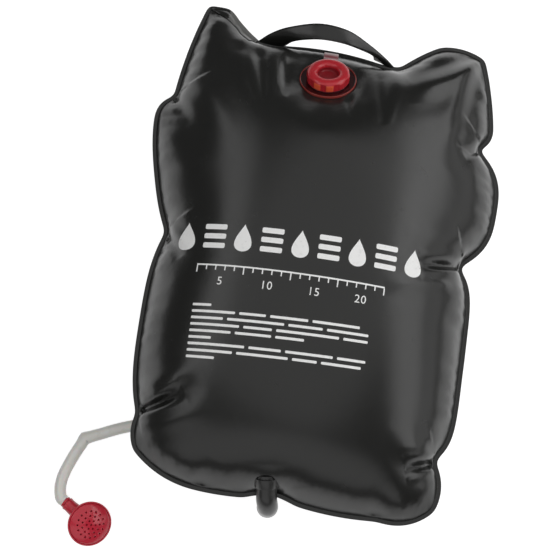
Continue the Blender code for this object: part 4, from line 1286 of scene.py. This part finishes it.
def build_print():
    """The generic print: drops and bars, a level scale, and rows of dashes."""
    verts, tris = [], []

    def lay(place, *loops):
        flat, faces = ink_faces(loops)
        first = len(verts)
        for x, y in flat:
            px, py = place(x, y)
            point, normal = surface(px * MM, py * MM)
            verts.append(point + normal * INK_LIFT)
        tris.extend(tuple(first + i for i in f) for f in faces)

    for index in range(TITLE_MARKS):
        left = 4 + index * TITLE_STEP
        if index % 2 == 0:
            lay(TITLE_LINE, drop(left + 11, 0.0, 19.0, 28.0))
        else:
            for level in range(3):
                lay(TITLE_LINE, box(left, 2.0 + level * 9.6, 22.0, 5.4, 1.6))
    lay(SCALE_LINE, box(0.0, SCALE_TOP, 188.0, 1.6))
    for tick in range(21):
        height = TICK_SHORT if tick % 5 else TICK_LONG
        lay(SCALE_LINE, box(tick * SCALE_STEP, SCALE_TOP - height, 1.2, height))
    for index, text in enumerate(("5", "10", "15", "20")):
        loops = number_loops(text, NUMBER_SIZE)
        width = max(p[0] for loop in loops for p in loop)
        middle = (index + 1) * SCALE_STEP * 5
        lay(SCALE_LINE, *([(x + middle - width / 2 - 22.0, y - 6.4) for x, y in loop]
                          for loop in loops))
    for row, dashes in enumerate(BLOCK_ROWS):
        x = 0.0
        for dash in dashes:
            lay(BLOCK_LINE, box(x, BLOCK_TOP - row * BLOCK_STEP, dash * BLOCK_SHARE,
                                DASH_HEIGHT, DASH_ROUND))
            x += dash * BLOCK_SHARE + DASH_GAP
    return new_mesh("white_print", verts, tris, MAT_INK)


ink = build_print()
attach(ink, "root")
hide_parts("front_panel")

# Floor, world, lights

FLOOR_GLOW = 0.86
FLOOR_HALF = 6
WORLD_STRENGTH = 0.13

n = Nodes("floor")
rays = n.add("ShaderNodeLightPath").outputs
seen = n.math("MAXIMUM", rays["Is Camera Ray"],
              n.math("MAXIMUM", rays["Is Glossy Ray"], rays["Is Transmission Ray"]))
n.look(Base_Color=n.mix(n.noise(14.0, 2.0), (0.42, 0.42, 0.42), (0.45, 0.45, 0.45)),
       Roughness=0.9, Specular_IOR_Level=0.2, Emission_Color=(1.0, 1.0, 1.0),
       Emission_Strength=n.math("MULTIPLY", seen, FLOOR_GLOW))
floor = new_mesh("floor", [(x * FLOOR_HALF, y * FLOOR_HALF, 0) for x, y in
                           ((-1, -1), (1, -1), (1, 1), (-1, 1))],
                 [(0, 1, 2, 3)], n.material, smooth=False)

world = bpy.data.worlds.new("studio")
scene.world = world
world.use_nodes = True
sky = world.node_tree.nodes["Background"]
sky.inputs["Color"].default_value = (1.0, 1.0, 1.0, 1.0)
sky.inputs["Strength"].default_value = WORLD_STRENGTH
for name, place, target, size_x, size_y, power in (
        ("top", (0.08, 0.12, 1.80), (0.0, 0.0, 0.1), 2.0, 2.5, 10.5),
        ("right", (1.02, 0.30, 0.98), (0.05, 0.0, 0.1), 2.2, 0.62, 8.0),
        ("left", (-0.92, 0.15, 1.12), (-0.05, 0.0, 0.1), 1.6, 0.45, 3.0),
        ("front", (-0.15, -1.35, 0.95), (0.0, -0.1, 0.1), 2.0, 0.95, 4.4),
        ("behind", (0.80, 0.95, 1.15), (0.1, 0.1, 0.1), 1.1, 0.9, 0.8),
        ("low right", (1.50, 0.25, 0.50), (0.1, 0.1, 0.08), 2.0, 0.45, 2.6)):
    data = bpy.data.lights.new(name, "AREA")
    data.shape = "RECTANGLE"
    data.size = size_x
    data.size_y = size_y
    data.energy = power
    turn = (Vector(place) - Vector(target)).normalized().to_track_quat("Z", "Y")
    new_object(name, data).matrix_world = Matrix.Translation(place) @ turn.to_matrix().to_4x4()
scene.view_settings.view_transform = "Standard"
